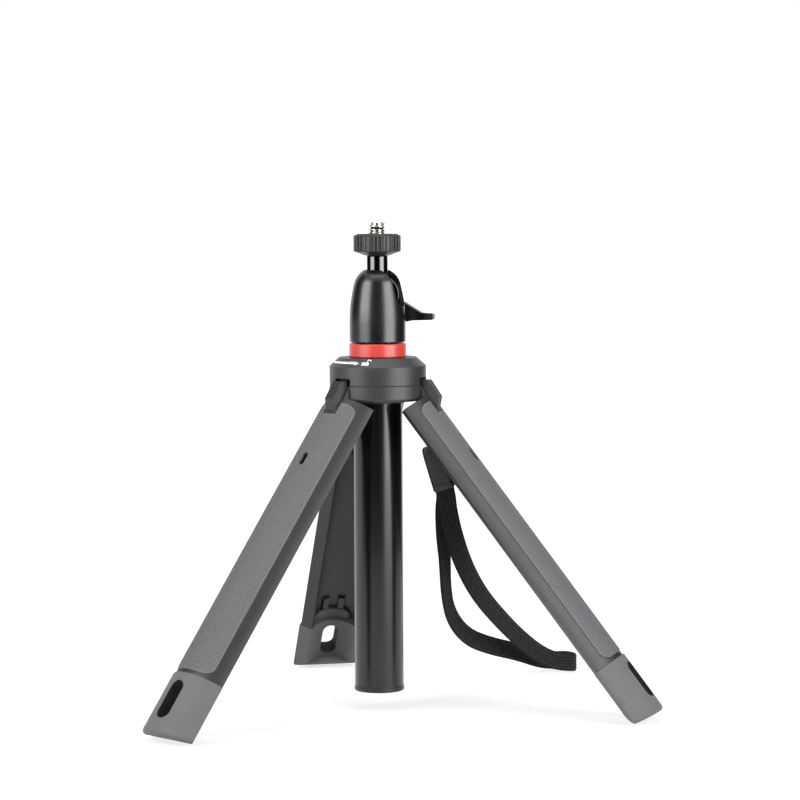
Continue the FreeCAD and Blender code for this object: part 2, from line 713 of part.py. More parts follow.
def make_leg(side, way):
    place = open_leg(way)
    name = "leg_%s" % side
    gap_apex = "(@leg_side_gap / sin(%g deg))" % (SECTOR_ANGLE / 2)
    wall_apex = "((@leg_side_gap + @leg_wall) / sin(%g deg))" % (SECTOR_ANGLE / 2)
    inside = "(@leg_radius - @leg_wall)"

    # channel: a third of a tube, closed at the top, with radial side walls
    blank = sector(name + "_blank", "@leg_radius", gap_apex, "@foot_top_level", "@leg_top_level")
    hollow = common(name + "_hollow", [
        sector(name + "_room", "@leg_radius", wall_apex, "@foot_top_level - 1",
               "@leg_top_level - @leg_cap"),
        cylinder(name + "_floor", inside, "@leg_reach + 10", "@foot_bottom_level - 5"),
    ])
    core = cylinder(name + "_core", "@leg_inner_radius", "@leg_reach + 10", "@foot_bottom_level - 5")
    channel = cut(name + "_channel", blank, [hollow, core])

    # strap slot with its bar, and the ribs above the foot
    cheek_block = box(name + "_cheek_block", "@leg_inner_radius", inside + " + 0.5",
                      "@slot_width + 2 * @slot_cheek", "@slot_level - @slot_length / 2",
                      "@slot_level + @slot_length / 2")
    cheek_room = box(name + "_cheek_room", "@leg_inner_radius - 1", "@leg_radius + 1", "@slot_width",
                     "@slot_level - @slot_length", "@slot_level + @slot_length")
    cheek_pair = cut(name + "_cheeks", cheek_block, [cheek_room])
    bar = cross_cylinder(name + "_bar", "@slot_bar_radius", "@slot_width + 2 * @slot_cheek",
                         "@slot_bar_place", "@slot_level")
    rib_low = "(@foot_top_level + @foot_tongue_height + 0.3)"
    rib_block = cut(name + "_rib_pair", box(
        name + "_rib_block", "@leg_inner_radius", "@leg_radius", "@rib_spacing + @rib_width",
        rib_low, "%s + @rib_length" % rib_low), [box(
            name + "_rib_space", "@leg_inner_radius - 1", "@leg_radius + 1",
            "@rib_spacing - @rib_width", "%s - 1" % rib_low, "%s + @rib_length + 1" % rib_low)])
    ribs = ring_block(name + "_ribs", inside + " - @rib_height", inside + " + 0.3", rib_block)

    # spigot that the foot is moulded round
    spigot_low = "(@foot_top_level - @spigot_length)"
    spigot_inner = "(%s + @spigot_inset)" % inside
    spigot_outer = "(%s + @spigot_thickness)" % spigot_inner
    spigot = ring_block(name + "_spigot", spigot_inner, spigot_outer, box(
        name + "_spigot_block", "@leg_inner_radius", "@leg_radius", "@foot_radius",
        spigot_low, "@foot_top_level"))
    solid = fuse(name + "_solid", [channel, cheek_pair, bar, ribs, spigot] + knuckle(name))

    # cuts: pin bore, strap slot, recess for the pad
    bore = cross_cylinder(name + "_bore", "@hinge_pin_radius + @fit_gap", "@hinge_pin_length",
                          "@hinge_radius", "@hinge_level")
    slot = capsule(name + "_slot", inside + " - 0.2", "@leg_radius + 2", "@slot_width",
                   "@slot_length", "@slot_level")
    pad_width = "(2 * @leg_radius * sin(@pad_half_angle * 1 deg))"
    pad_low = "(@foot_top_level + @pad_foot_margin)"
    pad_high = "(@leg_top_level - @pad_top_margin)"
    recess_block = round_edges(name + "_recess_block", box(
        name + "_recess_box", "@leg_inner_radius", "@leg_radius + 5", pad_width, pad_low, pad_high),
        "@pad_corner", along_x)
    cutout_low = "(@hinge_level - @pad_cutout_drop)"
    island = box(name + "_island", "@leg_inner_radius", "@leg_radius + 6",
                 "@pad_cutout_width", cutout_low, "@leg_top_level + 5")
    recess = cut(name + "_recess", ring_block(
        name + "_recess_wall", "@leg_radius - @pad_recess", "@leg_radius + 2", recess_block), [island])
    shell = cut("leg_shell_" + side, solid, [bore, slot, recess])
    finish("leg_shell_" + side, shell, place)

    # grip pad, set in the recess with a fine gap all round
    pad_block = round_edges(name + "_pad_block", box(
        name + "_pad_box", "@leg_inner_radius", "@leg_radius + 5", "%s - 2 * @pad_gap" % pad_width,
        "%s + @pad_gap" % pad_low, "%s - @pad_gap" % pad_high), "@pad_corner", along_x)
    pad_island = box(name + "_pad_island", "@leg_inner_radius", "@leg_radius + 6",
                     "@pad_cutout_width + 2 * @pad_gap", "%s - @pad_gap" % cutout_low,
                     "@leg_top_level + 5")
    pad_wall = ring_block(name + "_pad_wall", "@leg_radius - @pad_recess",
                          "@leg_radius - @pad_recess + @pad_thickness", pad_block)
    pad_slot = capsule(name + "_pad_slot", inside + " - 0.2", "@leg_radius + 2", "@slot_width",
                       "@slot_length", "@slot_level")
    finish("leg_pad_" + side, cut("leg_pad_" + side, pad_wall, [pad_island, pad_slot]), place)

    # rubber foot: a solid crescent with a long through slot and a tongue up the inside
    rubber = sector(name + "_rubber", "@foot_radius", gap_apex, "@foot_bottom_level",
                    "@foot_top_level")
    rounded = round_edges(name + "_rounded", rubber, "@foot_round", lambda edge: (
        edge.Curve.TypeId == "Part::GeomCircle"
        and abs(edge.BoundBox.ZMax - value("@foot_bottom_level")) < 1e-3))
    foot_core = cylinder(name + "_foot_core", "@foot_inner_radius", "@leg_reach",
                         "@foot_bottom_level - 5")
    socket = ring_block(name + "_socket", spigot_inner + " - @fit_gap",
                        spigot_outer + " + @fit_gap", box(
                            name + "_socket_block", "@leg_inner_radius", "@leg_radius",
                            "@foot_radius + 2 * @fit_gap", spigot_low + " - @fit_gap",
                            "@foot_top_level + 1"))
    tongue_block = round_edges(name + "_tongue_block", box(
        name + "_tongue_box", "@leg_inner_radius", "@leg_radius", "@foot_tongue_width",
        spigot_low + " - 2", "@foot_top_level + @foot_tongue_height"), "@foot_tongue_round",
        lambda edge: along_x(edge) and edge.BoundBox.ZMax > value("@foot_top_level"))
    tongue = ring_block(name + "_tongue", inside + " - @fit_gap - @foot_tongue_thickness",
                        inside + " - @fit_gap", tongue_block)
    lowered = "(@foot_bottom_level + @foot_slot_margin + @foot_slot_length / 2)"
    foot_slot = capsule(name + "_foot_slot", "@foot_inner_radius - 3", "@foot_radius + 3",
                        "@foot_slot_width", "@foot_slot_length", lowered)
    crescent = cut(name + "_crescent", rounded, [foot_core, socket])
    whole = fuse(name + "_foot_solid", [crescent, tongue])
    finish("foot_" + side, cut("foot_" + side, whole, [foot_slot]), place)


# Ball head: housing, base, ball, stem, brake pad, screw and lever


def make_head():
    opening = "@head_opening"
    seat = "(@ball_radius + @fit_gap)"
    rise = "sqrt(pow(%s; 2) - pow(%s; 2))" % (seat, opening)
    shell = turned("housing_blank", [
        ("@head_base_radius", "@head_level"),
        ("@head_radius - 0.3", "@head_level"),
        ("@head_radius", "@head_level + 0.3"),
        ("@head_radius", "@head_level + @head_straight", "+@head_side_curve"),
        ("@head_shoulder_radius", "@ball_level + @head_shoulder_rise", "+@head_dome_curve"),
        ("@head_rim_radius", "@ball_level + @head_rim_rise"),
        (opening, "@ball_level + @head_rim_rise"),
        (opening, "@ball_level + %s" % rise, "-%s" % seat),
        (seat, "@ball_level"),
        ("@head_base_radius", "@ball_level"),
    ])
    notch_way = facing(value("@portrait_notch_way"))
    notch_top = box("portrait_notch_top", "0", "@head_radius + 3", "2 * @portrait_notch_radius",
                    "@ball_level", "@ball_level + @head_rim_rise + 5")
    notch_end = cross_cylinder("portrait_notch_end", "@portrait_notch_radius", "@head_radius + 3",
                               "0", "@ball_level", along="x")
    screw_hole = cross_cylinder("clamp_screw_hole", "@clamp_screw_radius + @fit_gap",
                                "@head_radius + 3", "@head_base_radius - 2", "@lever_level", along="x")
    lever_way = facing(value("@lever_way"))
    tools = around([notch_top, notch_end], (notch_way,)) + around([screw_hole], (lever_way,))
    finish("head_housing", cut("head_housing", shell, tools))

    base_top = "(@ball_level - @head_base_drop)"
    inner = "sqrt(pow(%s; 2) - pow(@ball_level - %s; 2))" % (seat, base_top)
    head_base = turned("head_base_blank", [
        (section_radius(SECTION_COUNT), "@head_level"),
        ("@head_base_radius", "@head_level"),
        ("@head_base_radius", base_top),
        (inner, base_top, "-%s" % seat),
        ("0", "@ball_level - %s" % seat),
        ("0", "@head_level + @pole_socket_depth"),
        (section_radius(SECTION_COUNT), "@head_level + @pole_socket_depth"),
    ])
    pad_hole = cross_cylinder("brake_pad_hole", "@brake_pad_radius + @fit_gap", "@head_radius",
                              "2", "@lever_level", along="x")
    pad_side = around([pad_hole], (lever_way,))
    finish("head_base", cut("head_base", head_base, pad_side))

    ball_solid = doc.addObject("Part::Sphere", "ball_blank")
    bind(ball_solid, Radius="@ball_radius")
    base(ball_solid, z="@ball_level")
    ball_cap = cylinder("ball_cap", "@ball_radius", "@ball_radius", "@ball_top_level")
    root_low = "(@ball_top_level - @stem_root_depth)"
    ball_bore = cylinder("ball_bore", "@stem_root_radius + 0.03", "@ball_radius * 2", root_low)
    finish("ball", cut("ball", ball_solid, [ball_cap, ball_bore]))

    shoulder = "(@ball_top_level + 0.05)"
    pivot_top = "(@wheel_level + @wheel_pivot_height)"
    stem = turned("ball_stem", [
        ("0", "%s + 0.05" % root_low),
        ("@stem_root_radius", "%s + 0.05" % root_low),
        ("@stem_root_radius", shoulder),
        ("@stem_radius", shoulder),
        ("@stem_radius", "@wheel_level - @stem_bevel - 0.05"),
        ("@stem_radius - @stem_bevel", "@wheel_level - 0.05"),
        ("@wheel_pivot_radius", "@wheel_level - 0.05"),
        ("@wheel_pivot_radius", pivot_top),
        ("0", pivot_top),
    ])
    finish("ball_stem", stem)

    pad_blank = cross_cylinder("brake_pad_blank", "@brake_pad_radius", "@brake_pad_outer - 3", "3",
                               "@lever_level", along="x")
    pad_face = doc.addObject("Part::Sphere", "brake_pad_face")
    bind(pad_face, Radius="@ball_radius + 0.02")
    base(pad_face, z="@ball_level")
    brake = cut("brake_pad", pad_blank, [pad_face])
    at_lever = FreeCAD.Placement(FreeCAD.Vector(), FreeCAD.Rotation(FreeCAD.Vector(0, 0, 1), lever_way))
    finish("brake_pad", brake, at_lever)

    lever_inner = "(@head_radius + @lever_gap)"
    lever_outer = "(%s + @lever_thickness)" % lever_inner
    shaft_inner = "(@brake_pad_outer + 0.3)"
    shaft = cross_cylinder("clamp_shaft", "@clamp_screw_radius", "%s - %s" % (lever_outer, shaft_inner),
                           shaft_inner, "@lever_level", along="x")
    cap = cross_cylinder("clamp_cap", "@clamp_cap_radius", "@clamp_cap_height", lever_outer,
                         "@lever_level", along="x")
    hex_drive = cross_cylinder("clamp_drive", "1.1", "@clamp_cap_height + 1",
                               "%s + 0.2" % lever_outer, "@lever_level", along="x")
    screw = cut("clamp_screw", fuse("clamp_screw_blank", [shaft, cap]), [hex_drive])
    finish("clamp_screw", screw, at_lever)

    # the arm points along +X of its own sketch, away from the screw
    sketch = doc.addObject("Sketcher::SketchObject", "lever_outline")
    turn(sketch, 90, (1, 0, 0))
    tip_top, tip_low = "-@lever_tip_drop", "-(@lever_tip_drop + @lever_tip)"
    draw(sketch, [
        ("0", "@lever_hub_radius", "-30"),
        ("@lever_hub_radius + 3.6", "@lever_hub_radius - 0.9"),
        ("@lever_hub_radius + 10.6", "%s + 0.3" % tip_top),
        ("@lever_reach - 0.5", tip_top),
        ("@lever_reach", "%s - 0.4" % tip_top),
        ("@lever_reach", "%s + 0.4" % tip_low),
        ("@lever_reach - 0.5", tip_low),
        ("@lever_hub_radius + 7.6", "%s - 0.2" % tip_low),
        ("@lever_hub_radius + 3.0", "-(@lever_hub_radius + 1.1)"),
        ("0", "-(@lever_hub_radius + 0.4)", "-(@lever_hub_radius + 0.35)"),
    ])
    arm = doc.addObject("Part::Extrusion", "lever_arm")
    arm.Base = sketch
    arm.DirMode = "Custom"
    arm.Dir = FreeCAD.Vector(0, 1, 0)
    arm.Solid = True
    bind(arm, LengthFwd="@lever_thickness")
    eye = doc.addObject("Part::Cylinder", "lever_eye")
    bind(eye, Radius="@clamp_screw_radius", Height="@lever_thickness + 2")
    turn(eye, -90, (1, 0, 0))
    eye.Placement.Base = FreeCAD.Vector(0, -1, 0)
    lever = cut("clamp_lever", arm, [eye])
    spin = FreeCAD.Rotation(FreeCAD.Vector(0, 0, 1), value("@lever_way") - 180)
    seat_point = outwards(value("@lever_way")) * value(lever_inner)
    seat_point.z = value("@lever_level")
    finish("clamp_lever", lever, FreeCAD.Placement(seat_point, spin))


# Camera wheel: knurled wheel, camera stud and rubber pad


def make_wheel():
    low = "@wheel_level"
    rim_low = "(@wheel_level + @wheel_cone_height)"
    top = "(@wheel_level + @wheel_cone_height + @wheel_height)"
    pad_seat = "(%s - @wheel_pad_seat)" % top
    bore_top = "(@wheel_level + @wheel_pivot_height + 0.1)"
    wheel = turned("camera_wheel", [
        ("@wheel_pivot_radius + @fit_gap", low),
        ("@wheel_neck_radius", low),
        ("@wheel_radius - @wheel_bevel", rim_low),
        ("@wheel_radius", "%s + @wheel_bevel" % rim_low),
        ("@wheel_radius", "%s - @wheel_bevel" % top),
        ("@wheel_radius - @wheel_bevel", top),
        ("@wheel_pad_radius", top),
        ("@wheel_pad_radius", pad_seat),
        ("@stud_root_radius", pad_seat),
        ("@stud_root_radius", bore_top),
        ("@wheel_pivot_radius + @fit_gap", bore_top),
    ])
    sketch = wheel.newObject("Sketcher::SketchObject", "wheel_groove")
    sketch.AttachmentSupport = [(origin_feature(wheel, "XY_Plane"), "")]
    sketch.MapMode = "FlatFace"
    place = "@wheel_radius + @wheel_groove_out"
    circle = Part.Circle(FreeCAD.Vector(value(place), 0, 0), FreeCAD.Vector(0, 0, 1),
                         value("@wheel_groove_radius"))
    sketch.addGeometry(circle, False)
    sketch.addConstraint(Sketcher.Constraint("Radius", 0, value("@wheel_groove_radius")))
    sketch.setExpression("Constraints[0]", full("@wheel_groove_radius"))
    pin_coordinate(sketch, 0, 3, "DistanceX", place)
    pin_coordinate(sketch, 0, 3, "DistanceY", "0")
    groove = wheel.newObject("PartDesign::Pocket", "wheel_groove_cut")
    groove.Profile = sketch
    groove.Midplane = True
    bind(groove, Length="2 * (%s + 5)" % top)
    doc.recompute()
    pattern = wheel.newObject("PartDesign::PolarPattern", "wheel_knurl")
    pattern.Originals = [groove]
    pattern.Axis = (origin_feature(wheel, "Z_Axis"), [""])
    pattern.Angle = 360
    bind(pattern, Occurrences="@wheel_grooves")
    wheel.Tip = pattern
    finish("camera_wheel", wheel)

    pad_top = "(%s + @wheel_pad_thickness)" % pad_seat
    tip = "(%s + @stud_above_pad)" % pad_top
    finish("camera_stud", turned("camera_stud", [
        ("0", "%s + 0.1" % bore_top),
        ("@stud_root_radius", "%s + 0.1" % bore_top),
        ("@stud_root_radius", pad_top),
        ("@stud_radius", pad_top),
        ("@stud_radius", "%s - @stud_bevel" % tip),
        ("@stud_radius - @stud_bevel", tip),
        ("0", tip),
    ]))
    bore = "(@stud_radius + @fit_gap)"
    finish("wheel_pad", turned("wheel_pad", [
        (bore, pad_seat),
        ("@wheel_pad_radius", pad_seat),
        ("@wheel_pad_radius", "%s - 0.2" % pad_top),
        ("@wheel_pad_radius - 0.2", pad_top),
        (bore, pad_top),
    ]))


# Wrist strap: its two strands leave the keeper, meet at the far end and rest on the floor

KEEPER_TOP = (18.5, -11.3, 103.2)
KEEPER_BOTTOM = (24.0, -9.9, 86.4)
STRAP_ROUTE = [
    (23.68, -11.35, 86.17),
    (24.49, -11.15, 83.7),
    (25.3, -9.2, 78.8),
    (29.3, -2.4, 67.3),
    (36.4, 9.4, 53.5),
    (45.9, 22.6, 40.2),
    (57.6, 36.5, 28.4),
    (69.6, 49.2, 17.6),
    (80.8, 57.9, 9.0),
    (89.6, 62.1, 5.0),
    (99.5, 64.5, 3.9),
    (97.0, 75.4, 3.9),
    (86.6, 71.5, 4.1),
    (72.5, 63.9, 9.7),
    (58.7, 54.6, 14.0),
    (46.0, 44.1, 19.8),
    (36.5, 31.9, 30.1),
    (31.8, 20.6, 41.8),
    (28.9, 10.0, 55.2),
    (26.3, 1.4, 67.8),
    (24.9, -5.3, 78.3),
    (25.13, -8.25, 84.16),
    (24.32, -8.45, 86.63),
]
# The webbing's width runs level at the keeper and stands up where it lies on the floor
STRAP_LEVEL_WAY = FreeCAD.Vector(0.9765, -0.2155, 0)
STRAP_BACK_WAY = FreeCAD.Vector(0.2155, 0.9765, 0)
STRAP_UPRIGHT_LEVEL = 4.0
STRAP_BACK_ANGLE = 45.0


def rounded_path(points):
    """Straight runs joined by tangent arcs, each arc as large as its two runs allow."""
    points = [FreeCAD.Vector(*point) for point in points]
    edges, radii, here = [], [], points[0]
    for before, corner, after in zip(points, points[1:], points[2:]):
        arriving, leaving = corner - before, after - corner
        half_turn = arriving.getAngle(leaving) / 2
        reach = 0.45 * min(arriving.Length, leaving.Length)
        radii.append(reach / math.tan(half_turn))
        start = corner - FreeCAD.Vector(arriving).normalize() * reach
        end = corner + FreeCAD.Vector(leaving).normalize() * reach
        inward = ((start + end) * 0.5 - corner).normalize()
        middle = corner + inward * (radii[-1] / math.cos(half_turn) - radii[-1])
        edges.append(Part.LineSegment(here, start).toShape())
        edges.append(Part.Arc(start, middle, end).toShape())
        here = end
    edges.append(Part.LineSegment(here, points[-1]).toShape())
    return Part.Wire(edges), radii


def width_way(centre, along, returning):
    """The way that the webbing's width points at a place on its route."""
    top = STRAP_ROUTE[0][2]
    fallen = min(1.0, max(0.0, (top - centre.z) / (top - STRAP_UPRIGHT_LEVEL)))
    turn_back = math.radians(STRAP_BACK_ANGLE) * min(1.0, 3 * fallen) if returning else 0.0
    level = STRAP_LEVEL_WAY * math.cos(turn_back) + STRAP_BACK_WAY * math.sin(turn_back)
    tip = math.radians(90) * fallen
    way = level * math.cos(tip) + FreeCAD.Vector(0, 0, math.sin(tip))
    return (way - along * way.dot(along)).normalize()


def strap_section(centre, along, returning, width, thickness):
    """A rectangle across the webbing."""
    across = width_way(centre, along, returning)
    out = along.cross(across) * (thickness / 2)
    across = across * (width / 2)
    corners = [centre + across + out, centre - across + out, centre - across - out,
               centre + across - out]
    return Part.makePolygon(corners + corners[:1])


def stations(path, step):
    """Places along a path, no further apart than the step, with the way that it runs there."""
    found = []
    for edge in path.Edges:
        first, last = edge.FirstParameter, edge.LastParameter
        count = max(1, math.ceil(edge.Length / step))
        for i in range(count):
            at = first + (last - first) * i / count
            found.append((edge.valueAt(at), edge.tangentAt(at)))
    end = path.Edges[-1]
    found.append((end.valueAt(end.LastParameter), end.tangentAt(end.LastParameter)))
    return found


def make_strap():
    width, thickness = value("@strap_width"), value("@strap_thickness")
    path, radii = rounded_path(STRAP_ROUTE)
    print("strap arc radii", " ".join("%.1f" % radius for radius in radii))
    places = stations(path, value("@strap_station"))
    fold = max(range(len(places)), key=lambda i: places[i][0].dot(STRAP_LEVEL_WAY))
    wires = [
        strap_section(centre, along, i > fold, width, thickness)
        for i, (centre, along) in enumerate(places)
    ]
    webbing = doc.addObject("Part::Feature", "strap_webbing")
    webbing.Shape = Part.makeLoft(wires, True, True)
    print("strap length %.1f, volume %.1f of %.1f" % (
        path.Length, webbing.Shape.Volume, path.Length * width * thickness))
    finish("strap_webbing", webbing, FreeCAD.Placement())

    top, bottom = FreeCAD.Vector(*KEEPER_TOP), FreeCAD.Vector(*KEEPER_BOTTOM)
    along = (bottom - top).normalize()
    across = width_way(bottom, along, False)
    normal = across.cross(along)
    block = doc.addObject("Part::Box", "keeper_block")
    bind(block, Length="@keeper_width", Width="@keeper_thickness")
    block.Height = (bottom - top).Length
    longer = value("(@keeper_width + @keeper_thickness) / 2")
    keeper = round_edges("strap_keeper", block, "@keeper_round", lambda edge: edge.Length > longer)
    frame = FreeCAD.Matrix(across.x, normal.x, -along.x, 0, across.y, normal.y, -along.y, 0,
                           across.z, normal.z, -along.z, 0, 0, 0, 0, 1)
    corner = bottom - across * (value("@keeper_width") / 2) - normal * (value("@keeper_thickness") / 2)
    finish("strap_keeper", keeper, FreeCAD.Placement(corner, FreeCAD.Placement(frame).Rotation))

    diameter = value("@cord_diameter")
    cord_path, cord_radii = rounded_path(cord_route())
    print("cord arc radii", " ".join("%.1f" % radius for radius in cord_radii))
    start = cord_path.Edges[0]
    ring = Part.Wire(Part.makeCircle(diameter / 2, start.valueAt(start.FirstParameter),
                                     start.tangentAt(start.FirstParameter)))
    cord = doc.addObject("Part::Feature", "strap_cord")
    cord.Shape = cord_path.makePipeShell([ring], True, False)
    print("cord length %.1f, volume %.2f of %.2f" % (
        cord_path.Length, cord.Shape.Volume, cord_path.Length * math.pi * diameter**2 / 4))
    finish("strap_cord", cord, FreeCAD.Placement())


def cord_route():
    """Up out of the keeper, over to the slot bar of the right leg, round it and back."""
    leg = open_leg(LEG_ANGLES["right"])
    bar = leg.multVec(FreeCAD.Vector(value("@slot_bar_place"), 0, value("@slot_level")))
    top, bottom = FreeCAD.Vector(*KEEPER_TOP), FreeCAD.Vector(*KEEPER_BOTTOM)
    rise = (top - bottom).normalize()
    over = bar - top
    over.z = 0
    over.normalize()
    apart = value("@cord_diameter") / 2 + 0.4
    way = (bar - (top + rise * 4.4 + over * 3.4)).normalize()
    side = leg.Rotation.multVec(FreeCAD.Vector(0, 1, 0)).cross(way).normalize()
    reach = value("@slot_bar_radius") + value("@cord_diameter") / 2 + value("@fit_gap")
    strands = []
    for sign in (1, -1):
        shift = over * (sign * apart)
        lift = rise * (0 if sign > 0 else 2 * apart)
        strands.append([
            top + rise * 0.3 + shift,
            top + rise * 2.6 + shift + lift * 0.6,
            top + rise * 4.4 + over * 3.4 + lift,
            bar + side * (sign * reach) + way * reach,
        ])
    return strands[0] + strands[1][::-1]


make_pole()
make_hub()
make_lock()
for leg_side, leg_way in LEG_ANGLES.items():
    make_leg(leg_side, leg_way)
make_head()
make_wheel()
make_strap()
doc.recompute()

# Checks, then one file for each piece

problems = []
for thing in doc.Objects:
    if "Invalid" in thing.State or "Error" in thing.State:
        problems.append("%s is %s" % (thing.Name, thing.State))
for name, thing in finished.items():
    shape = thing.Shape
    if shape.isNull() or not shape.isValid() or not shape.Solids:
        problems.append("%s has no valid solid" % name)
if problems:
    raise RuntimeError("; ".join(problems))
os.makedirs("parts", exist_ok=True)
for name, thing in finished.items():
    thing.Shape.exportStep(os.path.join("parts", name + ".step"))
print("wrote %d pieces" % len(finished))
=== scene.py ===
# Telescoping table tripod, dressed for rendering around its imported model.
# Metres, +Z up, the floor at height zero.

import json
import math

import bmesh
import bpy
from bpy.props import FloatProperty, FloatVectorProperty, IntProperty, PointerProperty
from mathutils import Matrix, Vector


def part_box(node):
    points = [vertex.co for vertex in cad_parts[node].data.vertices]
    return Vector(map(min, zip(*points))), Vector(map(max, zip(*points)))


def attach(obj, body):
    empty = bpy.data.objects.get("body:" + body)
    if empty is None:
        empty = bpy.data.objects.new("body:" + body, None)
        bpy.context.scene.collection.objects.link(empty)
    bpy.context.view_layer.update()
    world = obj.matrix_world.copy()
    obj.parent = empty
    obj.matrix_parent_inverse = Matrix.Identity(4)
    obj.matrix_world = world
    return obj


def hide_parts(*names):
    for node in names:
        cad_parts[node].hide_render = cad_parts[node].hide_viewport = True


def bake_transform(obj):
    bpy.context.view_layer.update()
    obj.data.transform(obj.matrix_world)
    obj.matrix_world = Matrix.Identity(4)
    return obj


bl_info = {
    "name": "Telescoping table tripod",
    "version": (1, 0, 0),
    "blender": (4, 5, 0),
    "location": "View3D > Sidebar > Tripod",
    "description": "Dresses the packed tripod with its materials, strap, prints and stage",
    "category": "Object",
}

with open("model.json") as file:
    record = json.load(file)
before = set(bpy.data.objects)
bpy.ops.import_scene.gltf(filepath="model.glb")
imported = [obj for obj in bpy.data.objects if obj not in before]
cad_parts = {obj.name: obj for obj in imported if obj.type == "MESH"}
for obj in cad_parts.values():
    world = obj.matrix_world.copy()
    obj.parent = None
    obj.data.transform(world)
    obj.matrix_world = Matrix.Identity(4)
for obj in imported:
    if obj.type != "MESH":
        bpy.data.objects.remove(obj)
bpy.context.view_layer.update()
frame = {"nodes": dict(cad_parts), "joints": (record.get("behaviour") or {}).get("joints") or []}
NODES = frame["nodes"]
JOINTS = {joint["name"]: joint for joint in frame["joints"]}
SIDES = ("left", "right", "rear")
MM = 0.001
Z = Vector((0, 0, 1))


def colour(code):
    """The linear colour of an sRGB hex value."""
    parts = [int(code[i:i + 2], 16) / 255 for i in (0, 2, 4)]
    return tuple(p / 12.92 if p <= 0.04045 else ((p + 0.055) / 1.055) ** 2.4 for p in parts)


def mm(*values):
    """A vector given in millimetres."""
    return Vector(values) * MM


# Sizes and colours that a user would change


def length(name, description, default, low=0.0, high=1.0):
    """A setting in metres, shown in the scene's own unit."""
    return FloatProperty(name=name, description=description, default=default, min=low, max=high,
                         subtype="DISTANCE", unit="LENGTH", precision=5)


def paint(name, description, code):
    """A colour setting, given as an sRGB hex value."""
    return FloatVectorProperty(name=name, description=description, default=colour(code),
                               min=0.0, max=1.0, size=3, subtype="COLOR")


class TripodFinishSettings(bpy.types.PropertyGroup):
    """Colours of the tripod's finishes."""

    tube: paint("Tube", "Gloss black lacquer of the outer tube", "0b0a0c")
    hub: paint("Hub", "Moulded plastic of the hub", "303032")
    ring: paint("Lock ring", "Orange-red plastic of the twist ring", "c6423b")
    leg: paint("Legs", "Moulded plastic of the leg channels", "212024")
    grip: paint("Grip pads", "Soft plastic of the pads let into the legs", "5c5b5e")
    rubber: paint("Feet", "Rubber of the feet", "585759")
    head: paint("Head", "Satin black paint of the head and the wheel", "111112")
    strap: paint("Strap", "Dyed polyester of the wrist strap", "070606")
    ink: paint("Print", "White pad print on the hub", "f2f2f0")


class TripodGripSettings(bpy.types.PropertyGroup):
    """The fine nested chevrons on the grip pads, which point at the feet."""

    spacing: length("Spacing", "Distance between two lines along the leg", 1.25 * MM)
    radius: length("Line radius", "Half the thickness of a line, which is half sunk", 0.2 * MM)
    bend: length("Bend", "Radius of the soft point of each chevron", 2.0 * MM)
    angle: FloatProperty(name="Angle", description="Angle of the lines to the width of the leg",
                         default=math.radians(42), subtype="ANGLE", unit="ROTATION")


class TripodStrapSettings(bpy.types.PropertyGroup):
    """The wrist strap."""

    width: length("Width", "Width of the webbing", 7.5 * MM)
    thickness: length("Thickness", "Thickness of the webbing over its ribs", 1.35 * MM)
    rib_height: length("Rib height", "How far the ribs stand out on each face", 0.3 * MM)
    ribs: IntProperty(name="Ribs", description="Ribs along each face", default=5, min=1, max=12)


class TripodThreadSettings(bpy.types.PropertyGroup):
    """The quarter-inch camera thread."""

    radius: length("Radius", "Outer radius of the thread", 3.175 * MM)
    pitch: length("Pitch", "Distance from turn to turn, twenty to the inch", 1.27 * MM)


class TripodStageSettings(bpy.types.PropertyGroup):
    """Floor and lamps."""

    floor_size: length("Floor", "Side of the square floor", 24.0, 1.0, 100.0)
    key: FloatProperty(name="Key", description="Power of each large side lamp", default=9.0,
                       min=0.0, unit="POWER")
    top: FloatProperty(name="Top", description="Power of the overhead lamp", default=4.0,
                       min=0.0, unit="POWER")
    surround: FloatProperty(name="Surround", description="Brightness of the room as matt surfaces "
                            "see it", default=0.42, min=0.0, max=2.0)


def settings():
    return bpy.context.scene.tripod


# Material helpers

MATH = "ShaderNodeMath"
VECTOR_MATH = "ShaderNodeVectorMath"
# its inputs in order: the value, its lowest and highest, and what they become
MAP_RANGE = "ShaderNodeMapRange"
# the part of a noise's range that holds nearly all of its values
MIDDLE = (0.3, 0.7)
# how much finer detail a noise carries within its cells
CLOUDY = {"Detail": 3.0, "Roughness": 0.55}
GRAINY = {"Detail": 2.0, "Roughness": 0.55}
SPOTTED = {"Detail": 1.0, "Roughness": 0.55}
UNSTRETCHED = (1, 1, 1)


def fill(tree, node, links):
    """Fills a node's inputs, by name or in order, with numbers, with sockets, or with nodes,
    which stand for their first output."""
    for key, value in (links if isinstance(links, dict) else dict(enumerate(links))).items():
        if isinstance(value, bpy.types.Node):
            value = next(socket for socket in value.outputs if socket.enabled)
        if isinstance(value, bpy.types.NodeSocket):
            tree.links.new(value, node.inputs[key])
        else:
            node.inputs[key].default_value = value


def add_node(tree, kind, links=(), **values):
    """Adds a node, sets what is named on it and fills its inputs."""
    made = tree.nodes.new(kind)
    for name, value in values.items():
        setattr(made, name, value)
    fill(tree, made, links)
    return made


def rgba(value):
    return (*value, 1.0)


